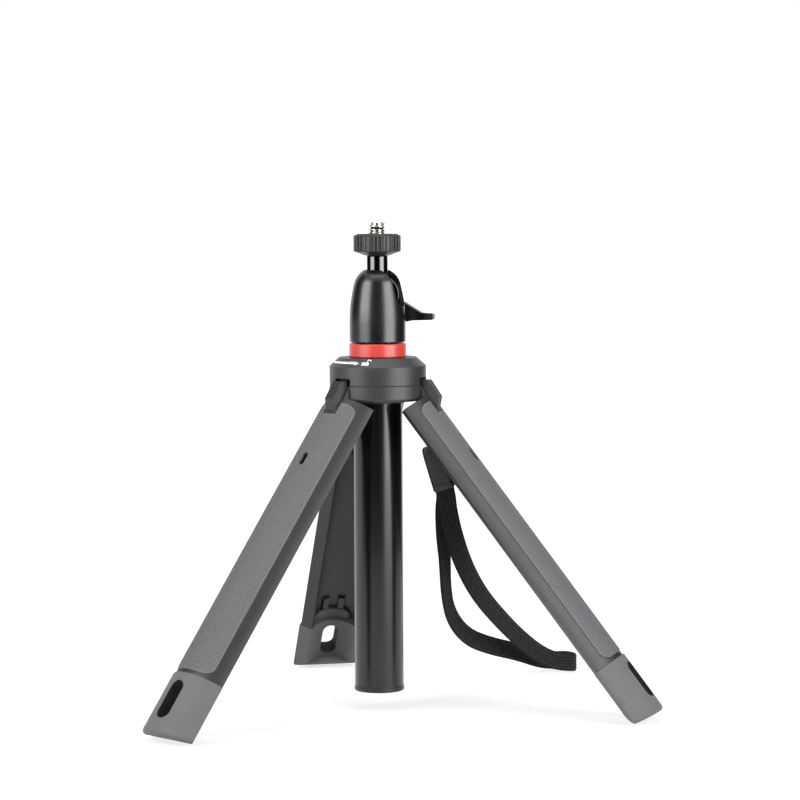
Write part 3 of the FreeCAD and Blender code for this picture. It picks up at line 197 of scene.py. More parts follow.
class Finish:
    """A material under construction: its tree, its surface shader and its coordinates."""

    def __init__(self, name, base, surface, matrix=None):
        self.material = bpy.data.materials.new(name)
        self.material.use_nodes = True
        self.tree = self.material.node_tree
        self.shader = self.tree.nodes["Principled BSDF"]
        self.base = base
        fill(self.tree, self.shader, {"Base Color": rgba(base), **surface})
        self.place = add_node(self.tree, "ShaderNodeTexCoord").outputs["Object"]
        if matrix is not None:
            # into the piece's own frame
            turned = matrix.inverted()
            self.place = add_node(self.tree, "ShaderNodeMapping", {
                "Vector": self.place, "Location": turned.to_translation(),
                "Rotation": turned.to_euler()})

    def pattern(self, kind, size, links, stretch=UNSTRETCHED, turn=0):
        """A texture whose cells are this many millimetres, on stretched or turned coordinates."""
        where = self.place
        if turn or stretch != UNSTRETCHED:
            where = add_node(self.tree, "ShaderNodeMapping", {
                "Vector": where, "Scale": stretch, "Rotation": (0, 0, math.radians(turn))})
        return add_node(self.tree, "ShaderNodeTex" + kind, {
            "Vector": where, "Scale": 1 / (size * MM), **links})

    def tint(self, amount, darker, lighter):
        """Colour variation between two shades of the base colour."""
        mixed = add_node(self.tree, "ShaderNodeMix", {
            "Factor": amount, "A": rgba([c * darker for c in self.base]),
            "B": rgba([min(1.0, c * lighter) for c in self.base])}, data_type="RGBA")
        fill(self.tree, self.shader, {"Base Color": mixed})

    def mottle(self, noise, darker, lighter, between=MIDDLE):
        """Colour variation that follows a noise."""
        self.tint(add_node(self.tree, MAP_RANGE, (noise, *between)), darker, lighter)

    def gloss(self, noise, low, high, between=MIDDLE):
        """Roughness that follows a noise from low to high."""
        fill(self.tree, self.shader, {
            "Roughness": add_node(self.tree, MAP_RANGE, (noise, *between, low, high))})

    def relief(self, height, depth, edge=None):
        """Relief of a depth in millimetres, over edges as round as a mould or a tumbling drum
        leaves them."""
        links = {"Height": height, "Strength": 1.0, "Distance": depth * MM}
        if edge:
            links["Normal"] = add_node(self.tree, "ShaderNodeBevel", {"Radius": edge * MM},
                                       samples=4)
        fill(self.tree, self.shader, {"Normal": add_node(self.tree, "ShaderNodeBump", links)})


def moulded_plastic(name, base, grain, roughness, edge=0.12, matrix=None, ior=1.52):
    # spark-eroded mould: a fine even grain, slightly cloudy gloss and softened edges
    made = Finish(name, base, {"IOR": ior}, matrix)
    clouds = made.pattern("Noise", 9.0, CLOUDY)
    made.mottle(clouds, 0.94, 1.06)
    made.gloss(clouds, roughness - 0.03, roughness + 0.03)
    made.relief(made.pattern("Noise", grain, GRAINY), 0.012, edge)
    return made.material


def lacquered_tube(base):
    # drawn aluminium tube under gloss black lacquer: nearly a mirror, with a faint dust of
    # specks and draw lines too fine for the eye, drawn here at 0.6 mm
    made = Finish("lacquered drawn aluminium", base, {
        "IOR": 1.5, "Coat Weight": 0.15, "Coat Roughness": 0.06})
    lines = made.pattern("Noise", 0.6, GRAINY, stretch=(1, 1, 0.02))
    made.mottle(made.pattern("Noise", 0.45, SPOTTED), 1.0, 2.2, (0.68, 0.78))
    made.gloss(lines, 0.2, 0.27)
    made.relief(lines, 0.0025, 0.15)
    return made.material


def turned_metal(name, base, roughness, stretch=(1, 1, 0.04)):
    # turned or drawn metal: hair-fine tool lines, drawn here at about a third of a millimetre
    made = Finish(name, base, {"Metallic": 1.0})
    cuts = made.pattern("Noise", 0.35, GRAINY, stretch)
    made.gloss(cuts, roughness * 0.8, roughness * 1.25)
    made.mottle(made.pattern("Noise", 6.0, CLOUDY), 0.94, 1.03)
    made.relief(cuts, 0.002, 0.08)
    return made.material


def satin_paint(name, base, roughness, ior=1.5, coat=0.25):
    # zinc casting with baked satin black paint: soft orange peel at 0.9 mm, rounded bright edges
    made = Finish(name, base, {"IOR": ior, "Coat Weight": coat, "Coat Roughness": 0.22})
    clouds = made.pattern("Noise", 7.0, CLOUDY)
    made.mottle(clouds, 0.92, 1.08)
    made.gloss(clouds, roughness - 0.03, roughness + 0.03)
    made.relief(made.pattern("Noise", 0.9, SPOTTED), 0.004, 0.22)
    return made.material


def soft_rubber(name, base, roughness=0.72, matrix=None):
    # compression-moulded rubber: matt, faintly mottled, with a bloom of dust in the grain
    made = Finish(name, base, {"IOR": 1.52, "Sheen Weight": 0.12, "Sheen Roughness": 0.6}, matrix)
    grain = made.pattern("Noise", 0.35, CLOUDY)
    made.mottle(made.pattern("Noise", 5.0, CLOUDY), 0.93, 1.05)
    made.gloss(grain, roughness - 0.06, roughness + 0.06, (0.35, 0.65))
    made.relief(grain, 0.02, 0.3)
    return made.material


def grip_plastic(name, base, matrix):
    # soft thermoplastic moulded over the leg: matt, with hair lines along the leg left by the
    # textured mould between its raised chevrons
    made = Finish(name, base, {"IOR": 1.5, "Sheen Weight": 0.08, "Sheen Roughness": 0.5}, matrix)
    hairs = made.pattern("Noise", 0.4, CLOUDY, stretch=(1, 1, 0.12))
    made.mottle(hairs, 0.93, 1.07)
    made.gloss(made.pattern("Noise", 8.0, CLOUDY), 0.56, 0.66)
    made.relief(hairs, 0.02, 0.2)
    return made.material


def woven_webbing(name, base, pick=0.75):
    # plain-woven polyester: the yarns cross at every pick, which gives a zigzag and a dull sheen.
    # That is too fine to show, so the zigzag is drawn six times as coarse: a wave texture has 20
    # bands along 2 pi cells, and they lie 2 pi picks apart
    made = Finish(name, base, {
        "Roughness": 0.82, "IOR": 1.35, "Sheen Weight": 0.05, "Sheen Roughness": 0.45})
    # the webbing's own map: across and along it, in metres
    made.place = add_node(made.tree, "ShaderNodeUVMap", uv_map="along")
    wavy = {"Distortion": 0.6, "Detail": 1.0, "Detail Scale": 2.0}
    yarns = [made.pattern("Wave", 20 * pick, wavy, turn=turn).outputs["Fac"] for turn in (45, -45)]
    weave = add_node(made.tree, MATH, yarns, operation="MAXIMUM")
    fuzz = made.pattern("Noise", 0.25, GRAINY)
    height = add_node(made.tree, MATH, (weave, fuzz), operation="ADD")
    # painted highlight and shade: the crests of the ribs are painted lighter, following the weave,
    # and the grooves between them painted darker; the cord, which has no crests, takes the darker
    # shade all over
    crest = add_node(made.tree, "ShaderNodeAttribute", attribute_name="crest").outputs["Fac"]
    painted_highlight = add_node(made.tree, MAP_RANGE, (height, 0.5, 1.6, 0.45, 1.0))
    made.tint(add_node(made.tree, MATH, (painted_highlight, crest), operation="MULTIPLY"), 0.5, 9.0)
    made.relief(height, 0.12)
    return made.material


def printed_ink(base):
    # pad-printed ink: opaque, thin and slightly uneven in gloss
    made = Finish("pad printed ink", base, {"IOR": 1.48})
    made.gloss(made.pattern("Noise", 0.5, CLOUDY), 0.4, 0.55)
    return made.material


def bare_material(name):
    """A new material and its empty tree."""
    material = bpy.data.materials.new(name)
    material.use_nodes = True
    material.node_tree.nodes.clear()
    return material, material.node_tree


# Mesh helpers

# steps of a smooth line from one point of its route to the next
ROUTE_STEPS = 16


def linked(name, data):
    """An object at the origin that shows a mesh, a curve, a lamp or a camera."""
    made = bpy.data.objects.new(name, data)
    bpy.context.scene.collection.objects.link(made)
    return made


def mesh_object(name, vertices, faces, material, smooth=True):
    """A mesh piece at the origin, in the row frame."""
    mesh = bpy.data.meshes.new(name)
    mesh.from_pydata([tuple(v) for v in vertices], [], faces)
    mesh.update()
    mesh.materials.append(material)
    piece = linked(name, mesh)
    shade(piece, smooth)
    return piece


def worked_object(name, work, *materials):
    """A mesh piece made from a mesh under work, which is used up."""
    mesh = bpy.data.meshes.new(name)
    work.to_mesh(mesh)
    work.free()
    for material in materials:
        mesh.materials.append(material)
    return linked(name, mesh)


def plain_mesh(thing):
    """What a curve or a modifier makes, as a mesh without either."""
    evaluated = thing.evaluated_get(bpy.context.evaluated_depsgraph_get())
    return bpy.data.meshes.new_from_object(evaluated)


def sliced(work, place, way):
    """Adds edges to a mesh where a plane meets it."""
    bmesh.ops.bisect_plane(work, geom=work.verts[:] + work.edges[:] + work.faces[:],
                           plane_co=place, plane_no=way)


def on_circle(radius, turn):
    """The point at an angle on a circle."""
    return radius * math.cos(turn), radius * math.sin(turn)


def pairs_round(count):
    """Each corner of a ring with the next one."""
    return [(i, (i + 1) % count) for i in range(count)]


def skin(rings, count):
    """Faces over a row of rings of points, closed at both ends."""
    faces = [(i * count + j, i * count + k, (i + 1) * count + k, (i + 1) * count + j)
             for i in range(rings - 1) for j, k in pairs_round(count)]
    last = (rings - 1) * count
    return faces + [tuple(reversed(range(count))), tuple(range(last, last + count))]


def shade(piece, smooth=True, sharp=35):
    """Smooth shading that keeps edges sharper than the given angle."""
    mesh = piece.data
    work = bmesh.new()
    work.from_mesh(mesh)
    bmesh.ops.recalc_face_normals(work, faces=work.faces)
    for face in work.faces:
        face.smooth = smooth
    for edge in work.edges:
        if len(edge.link_faces) == 2 and edge.calc_face_angle(0.0) > math.radians(sharp):
            edge.smooth = False
    work.to_mesh(mesh)
    work.free()


def nurbs_points(name, route):
    """The smooth line of a route: points read from its NURBS spline."""
    data = bpy.data.curves.new(name, "CURVE")
    data.dimensions = "3D"
    data.resolution_u = ROUTE_STEPS
    spline = data.splines.new("NURBS")
    spline.points.add(len(route) - 1)
    for point, place in zip(spline.points, route):
        point.co = (*place, 1.0)
    spline.order_u = 3
    spline.use_endpoint_u = True
    line = linked(name, data)
    mesh = plain_mesh(line)
    points = [vertex.co.copy() for vertex in mesh.vertices]
    points = points[:1] + [b for a, b in zip(points, points[1:]) if (b - a).length > 1e-6]
    bpy.data.meshes.remove(mesh)
    bpy.data.objects.remove(line)
    return points


def tangents(points):
    """The way that a line of points runs at each of them."""
    last = len(points) - 1
    return [(points[min(i + 1, last)] - points[max(i - 1, 0)]).normalized()
            for i in range(len(points))]


def swept(name, points, ways, profile, material):
    """Sweeps a closed profile of (across, out) pairs along points, with a map across and along."""
    count = len(profile)
    vertices = []
    for point, tangent, way in zip(points, tangents(points), ways):
        across = (way - tangent * way.dot(tangent)).normalized()
        out = tangent.cross(across)
        vertices += [point + across * a + out * b for a, b in profile]
    piece = mesh_object(name, vertices, skin(len(points), count), material)
    layer = piece.data.uv_layers.new(name="along")
    run = [0.0]
    for a, b in zip(points, points[1:]):
        run.append(run[-1] + (b - a).length)
    round_way = [0.0]
    for (a, b), (c, d) in zip(profile, profile[1:]):
        round_way.append(round_way[-1] + math.hypot(c - a, d - b))
    for loop in piece.data.loops:
        station, corner = divmod(loop.vertex_index, count)
        layer.data[loop.index].uv = (round_way[corner], run[station])
    return piece


def finished(piece, body, slot, *nodes):
    """Hands a piece to the body it rides on, and hides the imported nodes that it replaces; its
    slot is not used.
    """
    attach(piece, body)
    if nodes:
        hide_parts(*nodes)
    return piece


# Geometry Nodes helpers


def new_tree(name, **inputs):
    """A node tree that makes geometry from named number inputs."""
    tree = bpy.data.node_groups.new(name, "GeometryNodeTree")
    tree.interface.new_socket("Geometry", in_out="OUTPUT", socket_type="NodeSocketGeometry")
    for label, kind in inputs.items():
        tree.interface.new_socket(label.replace("_", " "), in_out="INPUT",
                                  socket_type="NodeSocket" + kind)
    return tree, add_node(tree, "NodeGroupInput").outputs


def beaded(tree, curve, resolution, radius):
    """Round or cornered beads along curves, closed at their ends."""
    section = add_node(tree, "GeometryNodeCurvePrimitiveCircle", {
        "Resolution": resolution, "Radius": radius})
    return add_node(tree, "GeometryNodeCurveToMesh", {
        "Curve": curve, "Profile Curve": section, "Fill Caps": True})


def close_tree(tree, geometry, material):
    """Ends a tree with real geometry in one material."""
    real = add_node(tree, "GeometryNodeRealizeInstances", {"Geometry": geometry})
    dressed = add_node(tree, "GeometryNodeSetMaterial", {"Geometry": real, "Material": material})
    add_node(tree, "NodeGroupOutput", {"Geometry": dressed})


def grown(name, tree, matrix, **values):
    """Runs a tree with its inputs set, and keeps the result as a plain mesh piece."""
    carrier = linked(name + "_carrier", bpy.data.meshes.new(name + "_carrier"))
    modifier = carrier.modifiers.new(tree.name, "NODES")
    modifier.node_group = tree
    for item in tree.interface.items_tree:
        key = item.name.replace(" ", "_")
        if item.in_out == "INPUT" and key in values:
            modifier[item.identifier] = values[key]
    mesh = plain_mesh(carrier)
    mesh.name = name
    bpy.data.objects.remove(carrier)
    mesh.transform(matrix)
    return linked(name, mesh)


# The legs' own frame: x outwards from the pole, y across, z up, with the leg folded down


def leg_matrix(side):
    """From a leg's own frame, its hinge at height zero, to where the open leg stands."""
    joint = JOINTS["leg_fold_" + side]
    hinge, across = Vector(joint["pos_m"]), Vector(joint["axis"]).normalized()
    outwards = across.cross(Z)
    basis = Matrix((outwards, across, Z)).transposed().to_4x4()
    swing = Matrix.Rotation(-math.radians(joint["range_deg"][1]), 4, across)
    reach = Vector((hinge.x, hinge.y, 0)).length
    return Matrix.Translation(hinge) @ swing @ basis @ Matrix.Translation((-reach, 0, 0))


PAD_RADIUS = 16.15 * MM
PAD_HALF_WIDTH = 11.0 * MM
PAD_TOP = -11.1 * MM
PAD_BOTTOM = -130.9 * MM
PAD_CORNER = 3.5 * MM
ISLAND_HALF_WIDTH = 3.5 * MM
ISLAND_BOTTOM = -16.5 * MM
STRAP_SLOT = (1.3 * MM, 2.9 * MM, -37.3 * MM)
LINE_MARGIN = 0.3 * MM


def grip_line_tree(material):
    """Chevrons at a spacing, clipped to the pad's outline and laid on its curved face."""
    tree, given = new_tree("grip lines", Spacing="Float", Line_radius="Float", Bend="Float",
                           Angle="Float")
    place = add_node(tree, "GeometryNodeInputPosition")
    parts = add_node(tree, "ShaderNodeSeparateXYZ", (place,)).outputs
    line = add_node(tree, "GeometryNodeCurvePrimitiveLine", {
        "Start": (0, -PAD_HALF_WIDTH, 0), "End": (0, PAD_HALF_WIDTH, 0)})
    fine = add_node(tree, "GeometryNodeResampleCurve", {"Curve": line, "Length": 0.7 * MM},
                    mode="LENGTH")
    edges = add_node(tree, "GeometryNodeCurveToMesh", {"Curve": fine})
    squares = [add_node(tree, MATH, (value, value), operation="MULTIPLY")
               for value in (parts["Y"], given["Bend"])]
    arm = add_node(tree, MATH, (add_node(tree, MATH, squares, operation="ADD"),), operation="SQRT")
    slope = add_node(tree, MATH, (given["Angle"],), operation="TANGENT")
    rise = add_node(tree, MATH, (arm, slope), operation="MULTIPLY")
    chevron = add_node(tree, "GeometryNodeSetPosition", {
        "Geometry": edges, "Offset": add_node(tree, "ShaderNodeCombineXYZ", {"Z": rise})})
    low = PAD_BOTTOM - PAD_HALF_WIDTH - 2 * MM
    column = add_node(tree, "GeometryNodeMeshLine", {
        "Count": add_node(tree, MATH, (PAD_TOP - low, given["Spacing"]), operation="DIVIDE"),
        "Start Location": (0, 0, low),
        "Offset": add_node(tree, "ShaderNodeCombineXYZ", {"Z": given["Spacing"]})}, mode="OFFSET")
    repeated = add_node(tree, "GeometryNodeInstanceOnPoints", {
        "Points": column, "Instance": chevron})
    lines = add_node(tree, "GeometryNodeRealizeInstances", {"Geometry": repeated})

    def beyond(middle, half_width, half_length, corner):
        """How far a point lies outside a rounded outline."""
        past = place
        for operation, *values in (("SUBTRACT", (0, 0, middle)), ("ABSOLUTE",),
                                   ("SUBTRACT", (0, half_width - corner, half_length - corner)),
                                   ("MAXIMUM", (0, 0, 0)), ("LENGTH",)):
            past = add_node(tree, VECTOR_MATH, (past, *values), operation=operation)
        return add_node(tree, MATH, (past, corner), operation="SUBTRACT")

    outside = beyond((PAD_TOP + PAD_BOTTOM) / 2, PAD_HALF_WIDTH, (PAD_TOP - PAD_BOTTOM) / 2,
                     PAD_CORNER)
    island_top = PAD_TOP + 4 * MM
    island = beyond((island_top + ISLAND_BOTTOM) / 2, ISLAND_HALF_WIDTH,
                    (island_top - ISLAND_BOTTOM) / 2, 0.1 * MM)
    half_width, half_length, level = STRAP_SLOT
    slot = beyond(level, half_width, half_length, half_width)
    clear = add_node(tree, MATH, (outside, -1.0), operation="MULTIPLY")
    for other in (island, slot):
        clear = add_node(tree, MATH, (clear, other), operation="MINIMUM")
    dropped = add_node(tree, "FunctionNodeCompare", {"A": clear, "B": LINE_MARGIN},
                       data_type="FLOAT", operation="LESS_THAN")
    kept = add_node(tree, "GeometryNodeDeleteGeometry", {
        "Geometry": lines, "Selection": dropped}, domain="POINT")
    curves = add_node(tree, "GeometryNodeMeshToCurve", {"Mesh": kept})
    spaced = add_node(tree, "GeometryNodeResampleCurve", {"Curve": curves, "Length": 1.5 * MM},
                      mode="LENGTH")
    beads = beaded(tree, spaced, 4, given["Line radius"])
    turn = add_node(tree, MATH, (parts["Y"], PAD_RADIUS), operation="DIVIDE")
    out = add_node(tree, MATH, (parts["X"], PAD_RADIUS), operation="ADD")
    x, y = [add_node(tree, MATH, (out, add_node(tree, MATH, (turn,), operation=way)),
                     operation="MULTIPLY") for way in ("COSINE", "SINE")]
    wrapped = add_node(tree, "ShaderNodeCombineXYZ", (x, y, parts["Z"]))
    laid = add_node(tree, "GeometryNodeSetPosition", {"Geometry": beads, "Position": wrapped})
    close_tree(tree, laid, material)
    return tree


# depth of a rolled thread as a share of its pitch, its core, and the plain end of the stud
THREAD_DEPTH = 0.54
CORE_DEPTHS = 1.35
SHANK_RADIUS = 3.0 * MM
STUD_CHAMFER = 0.35 * MM
# how far the thread stays clear of the wheel's face, and of both ends together
THREAD_START = 0.1 * MM
THREAD_SHORTER = 0.9 * MM
# the concentric ridges of the wheel's pad
PAD_RIDGES = {"Inner": 4.2 * MM, "Step": 0.6 * MM, "Height": 0.14 * MM, "Count": 7}


def thread_tree(material):
    """A helical ridge round a core."""
    tree, given = new_tree("rolled thread", Radius="Float", Pitch="Float", Length="Float")
    rotations = add_node(tree, MATH, (given["Length"], given["Pitch"]), operation="DIVIDE")
    depth = add_node(tree, MATH, (given["Pitch"], THREAD_DEPTH), operation="MULTIPLY")
    root = add_node(tree, MATH, (given["Radius"], depth), operation="SUBTRACT")
    line = add_node(tree, "GeometryNodeCurveSpiral", {
        "Resolution": 40, "Rotations": rotations, "Height": given["Length"],
        "Start Radius": root, "End Radius": root})
    close_tree(tree, beaded(tree, line, 3, depth), material)
    return tree


def ridge_tree(material):
    """Rings of one thickness, evenly spaced from an inner to an outer radius."""
    tree, given = new_tree("pad ridges", Inner="Float", Step="Float", Height="Float", Count="Int")
    row = add_node(tree, "GeometryNodeMeshLine", {
        "Count": given["Count"], "Offset": (0, 0, 0)}, mode="OFFSET")
    ring = add_node(tree, "GeometryNodeCurvePrimitiveCircle", {"Resolution": 96, "Radius": 1.0})
    number = add_node(tree, "GeometryNodeInputIndex")
    wider = add_node(tree, MATH, (number, given["Step"]), operation="MULTIPLY")
    size = add_node(tree, MATH, (given["Inner"], wider), operation="ADD")
    rings = add_node(tree, "GeometryNodeInstanceOnPoints", {
        "Points": row, "Instance": ring,
        "Scale": add_node(tree, "ShaderNodeCombineXYZ", (size, size, 1.0))})
    real = add_node(tree, "GeometryNodeRealizeInstances", {"Geometry": rings})
    close_tree(tree, beaded(tree, real, 6, given["Height"]), material)
    return tree


# Operators


class TRIPOD_OT_finishes(bpy.types.Operator):
    """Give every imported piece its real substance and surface"""

    bl_idname = "tripod.finishes"
    bl_label = "Finishes"

    def execute(self, context):
        look = settings().finish
        # ABS: dark grey with broad soft highlights
        hub = moulded_plastic("spark-eroded hub plastic", look.hub, 0.3, 0.4, ior=1.46)
        # nylon left in its own colour: off-white and waxy, deep inside the head and the pole
        nylon = moulded_plastic("natural moulded nylon", colour("b9b6ab"), 0.5, 0.45)
        # deep black between two long soft highlights, and duller over the wheel's knurl
        head = satin_paint("satin black baked paint", look.head, 0.3)
        wheel = satin_paint("satin black paint on the wheel", look.head, 0.34, ior=1.42, coat=0.1)
        # cool pale grey screws and pins
        steel = turned_metal("zinc plated steel", colour("b4b3ae"), 0.32)
        # a dark mirror: black with two sharp white streaks
        nickel = turned_metal("black nickel plated steel", colour("4d4c4e"), 0.14,
                              stretch=(0.05, 0.05, 1))
        # dull black tubes with a faint grain along them
        drawn = turned_metal("black anodised aluminium", colour("2c2c2e"), 0.34)
        # nylon dyed black: the plug shows as a thin satin lip, the collet as a dark gap
        plug = moulded_plastic("moulded nylon end plug", colour("1b1a1c"), 0.4, 0.34)
        collet = moulded_plastic("moulded acetal collet", colour("161617"), 0.5, 0.45)
        # polished mould: one even orange-red with light streaks at its sides
        ring = moulded_plastic("glossy moulded ABS ring", look.ring, 0.6, 0.3, edge=0.25)
        # glass-filled nylon: black, with a light line along its upper edge
        lever = moulded_plastic("moulded nylon lever", colour("080809"), 0.4, 0.3, edge=0.3)
        dressed = {
            "outer_tube": lacquered_tube(look.tube),
            "tube_end_plug": plug,
            "hub_upper_shell": hub,
            "hub_lower_shell": hub,
            "hub_screws": steel,
            "lock_ring": ring,
            "lock_collet": collet,
            "head_housing": head,
            "head_base": head,
            "ball": nickel,
            "ball_stem": nickel,
            "brake_pad": nylon,
            "clamp_screw": steel,
            "clamp_lever": lever,
            "camera_wheel": wheel,
            "wheel_pad": soft_rubber("moulded black pad rubber", colour("232324"), 0.8),
        }
        for number in range(1, 6):
            dressed["pole_section_%d" % number] = drawn
            dressed["section_bush_%d" % number] = nylon
        for side in SIDES:
            matrix = leg_matrix(side)
            dressed["hinge_pin_" + side] = steel
            dressed["leg_shell_" + side] = moulded_plastic(
                "moulded nylon leg " + side, look.leg, 0.35, 0.46, edge=0.25, matrix=matrix)
            dressed["leg_pad_" + side] = grip_plastic("grip plastic " + side, look.grip, matrix)
            dressed["foot_" + side] = soft_rubber("foot rubber " + side, look.rubber, matrix=matrix)
        for name, material in dressed.items():
            slots = NODES[name].material_slots
            for slot in slots:
                slot.link = "DATA"
                slot.material = material
            if not slots:
                NODES[name].data.materials.append(material)
        return {"FINISHED"}


KEEPER_TOP = mm(18.5, -11.3, 103.2)
KEEPER_BOTTOM = mm(24.0, -9.9, 86.4)
# share of the keeper's length, half width and half thickness there, in millimetres
KEEPER_STATIONS = (
    (0.0, 3.3, 1.7), (0.02, 3.75, 2.1), (0.06, 4.05, 2.35), (0.2, 4.2, 2.5), (0.5, 4.25, 2.55),
    (0.8, 4.3, 2.6), (0.84, 4.3, 2.6), (0.85, 4.1, 2.4), (0.87, 4.1, 2.4), (0.88, 4.3, 2.6),
    (0.97, 4.3, 2.6), (0.99, 4.15, 2.45), (1.0, 3.95, 2.25))
# 1 would make the keeper's section an ellipse, and 0 a rectangle
KEEPER_ROUNDNESS = 0.45
STRAP_ROUTE = [mm(*place) for place in (
    (23.68, -11.35, 86.17), (24.49, -11.15, 83.7), (25.3, -9.2, 78.8), (29.3, -2.4, 67.3),
    (36.4, 9.4, 53.5), (45.9, 22.6, 40.2), (57.6, 36.5, 28.4), (69.6, 49.2, 17.6),
    (80.8, 57.9, 9.0), (89.6, 62.1, 5.0), (99.5, 64.5, 3.9), (97.0, 75.4, 3.9),
    (86.6, 71.5, 4.1), (72.5, 63.9, 9.7), (58.7, 54.6, 14.0), (46.0, 44.1, 19.8),
    (36.5, 31.9, 30.1), (31.8, 20.6, 41.8), (28.9, 10.0, 55.2), (26.3, 1.4, 67.8),
    (24.9, -5.3, 78.3), (25.13, -8.25, 84.16), (24.32, -8.45, 86.63))]
CORD_ROUTE = [mm(*place) for place in (
    (19.29, -11.79, 103.48), (18.58, -11.97, 105.66), (20.15, -13.23, 107.37),
    (30.47, -17.42, 95.6), (32.24, -18.45, 97.93), (19.53, -13.39, 109.26),
    (16.44, -11.14, 106.8), (17.52, -10.86, 103.48))]
CORD_DIAMETER = 1.2 * MM
# to the right and away from the camera, level with the floor
LEVEL_WAY = Vector((0.9765, -0.2155, 0))
BACK_WAY = Vector((0.2155, 0.9765, 0))
LYING_LEVEL = 4.0 * MM
# the strand that comes back from the fold leans away by this angle, and does so early in its fall
LEAN_BACK = math.radians(45)
LEAN_EARLY = 3
# below 1, the ribs are broad and the grooves between them narrow
RIB_FULLNESS = 0.6
RIB_STEPS = 5
# the webbing's edges are a little flatter than half circles, across and out
WEBBING_EDGE = (0.9, 0.8)


def width_ways(points):
    """The webbing's width runs level at the keeper and stands up where it lies on the floor."""
    fold = max(range(len(points)), key=lambda i: points[i].dot(LEVEL_WAY))
    top = STRAP_ROUTE[0].z
    ways = []
    for i, (point, along) in enumerate(zip(points, tangents(points))):
        fallen = min(1.0, max(0.0, (top - point.z) / (top - LYING_LEVEL)))
        back = LEAN_BACK * min(1.0, LEAN_EARLY * fallen) if i > fold else 0.0
        level = LEVEL_WAY * math.cos(back) + BACK_WAY * math.sin(back)
        way = level * math.cos(math.pi / 2 * fallen) + Z * math.sin(math.pi / 2 * fallen)
        ways.append((way - along * way.dot(along)).normalized())
    return ways


def ribbed_profile(width, thickness, rib_height, ribs):
    """The webbing cut across: round ribs on both faces and round edges."""
    half = thickness / 2
    inner = width - thickness
    face = []
    for i in range(ribs * RIB_STEPS + 1):
        at = i / RIB_STEPS
        ridge = abs(math.sin(math.pi * at))
        face.append((inner * (at / ribs - 0.5), half - rib_height * (1 - ridge ** RIB_FULLNESS)))
    across, out = WEBBING_EDGE
    edge = [(inner / 2 + half * math.sin(turn) * across, half * math.cos(turn) * out)
            for turn in (math.radians(45), math.radians(90), math.radians(135))]
    upper = face + edge
    return upper + [(-a, -b) for a, b in upper]


class TRIPOD_OT_strap(bpy.types.Operator):
    """Lay the ribbed wrist strap along its route, from the keeper to the floor and back"""

    bl_idname = "tripod.strap"
    bl_label = "Wrist strap"

    def execute(self, context):
        size = settings().strap
        fabric = woven_webbing("woven polyester webbing", settings().finish.strap)
        points = nurbs_points("strap_route", STRAP_ROUTE)
        profile = ribbed_profile(size.width, size.thickness, size.rib_height, size.ribs)
        webbing = swept("strap_webbing_ribbed", points, width_ways(points), profile, fabric)
        groove = size.thickness / 2 - size.rib_height
        # how far each point stands out on its rib: the material paints its highlight on the crests
        # and its shade in the grooves from this
        crest = webbing.data.attributes.new("crest", "FLOAT", "POINT")
        for i in range(len(webbing.data.vertices)):
            out = abs(profile[i % len(profile)][1])
            crest.data[i].value = max(0.0, min(1.0, (out - groove) / size.rib_height)) ** 2
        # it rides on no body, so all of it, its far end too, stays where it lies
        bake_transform(webbing)
        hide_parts("strap_webbing")

        cord_points = nurbs_points("cord_route", CORD_ROUTE)
        ring = [on_circle(CORD_DIAMETER / 2, math.tau * i / 12) for i in range(12)]
        across = Vector(JOINTS["leg_fold_right"]["axis"])
        braid = woven_webbing("braided polyester cord", settings().finish.strap, pick=0.4)
        cord = swept("strap_cord_braided", cord_points, [across] * len(cord_points), ring, braid)
        finished(cord, "leg_right", "strap_fabric", "strap_cord")
        return {"FINISHED"}


class TRIPOD_OT_keeper(bpy.types.Operator):
    """Mould the smooth keeper that joins the webbing to its cord"""

    bl_idname = "tripod.keeper"
    bl_label = "Strap keeper"

    def execute(self, context):
        along = (KEEPER_BOTTOM - KEEPER_TOP).normalized()
        across = (LEVEL_WAY - along * LEVEL_WAY.dot(along)).normalized()
        out = across.cross(along)
        reach = (KEEPER_BOTTOM - KEEPER_TOP).length
        count = 40
        vertices = []
        for share, half_width, half_thickness in KEEPER_STATIONS:
            centre = KEEPER_TOP + along * (reach * share)
            for i in range(count):
                turn = math.tau * i / count
                c, s = math.cos(turn), math.sin(turn)
                a = math.copysign(abs(c) ** KEEPER_ROUNDNESS, c) * half_width * MM
                b = math.copysign(abs(s) ** KEEPER_ROUNDNESS, s) * half_thickness * MM
                vertices.append(centre + across * a + out * b)
        # smooth black nylon, duller than the webbing is ribbed
        material = moulded_plastic("moulded nylon keeper", colour("080808"), 0.3, 0.5, edge=0.2)
        faces = skin(len(KEEPER_STATIONS), count)
        piece = mesh_object("strap_keeper_moulded", vertices, faces, material)
        finished(piece, "leg_right", "keeper_black", "strap_keeper")
        return {"FINISHED"}


class TRIPOD_OT_grip_lines(bpy.types.Operator):
    """Raise the fine chevrons on the three grip pads"""

    bl_idname = "tripod.grip_lines"
    bl_label = "Grip lines"

    def execute(self, context):
        size = settings().grip
        for side in SIDES:
            material = NODES["leg_pad_" + side].material_slots[0].material
            tree = grip_line_tree(material)
            piece = grown("grip_lines_" + side, tree, leg_matrix(side), Spacing=size.spacing,
                          Line_radius=size.radius, Bend=size.bend, Angle=size.angle)
            finished(piece, "leg_" + side, "leg_grip")
        return {"FINISHED"}


# thickness of the wall that closes a foot, how far it sinks into the rubber round it, and how
# far it stays back from the open side, where the folded legs meet
FOOT_WALL = 2.6 * MM
FOOT_WALL_SUNK = 0.6 * MM
FOOT_WALL_BACK = 0.3 * MM
FOOT_TOE = 3.6 * MM
# the stretched end: how high it reaches, and the share of the way down to the floor
FOOT_END_ZONE = 3.0 * MM
FOOT_SLANT = 0.3
# half width, lowest and highest place above the foot's end
FOOT_SLOT = (3.3 * MM, 3.7 * MM, 20.2 * MM)


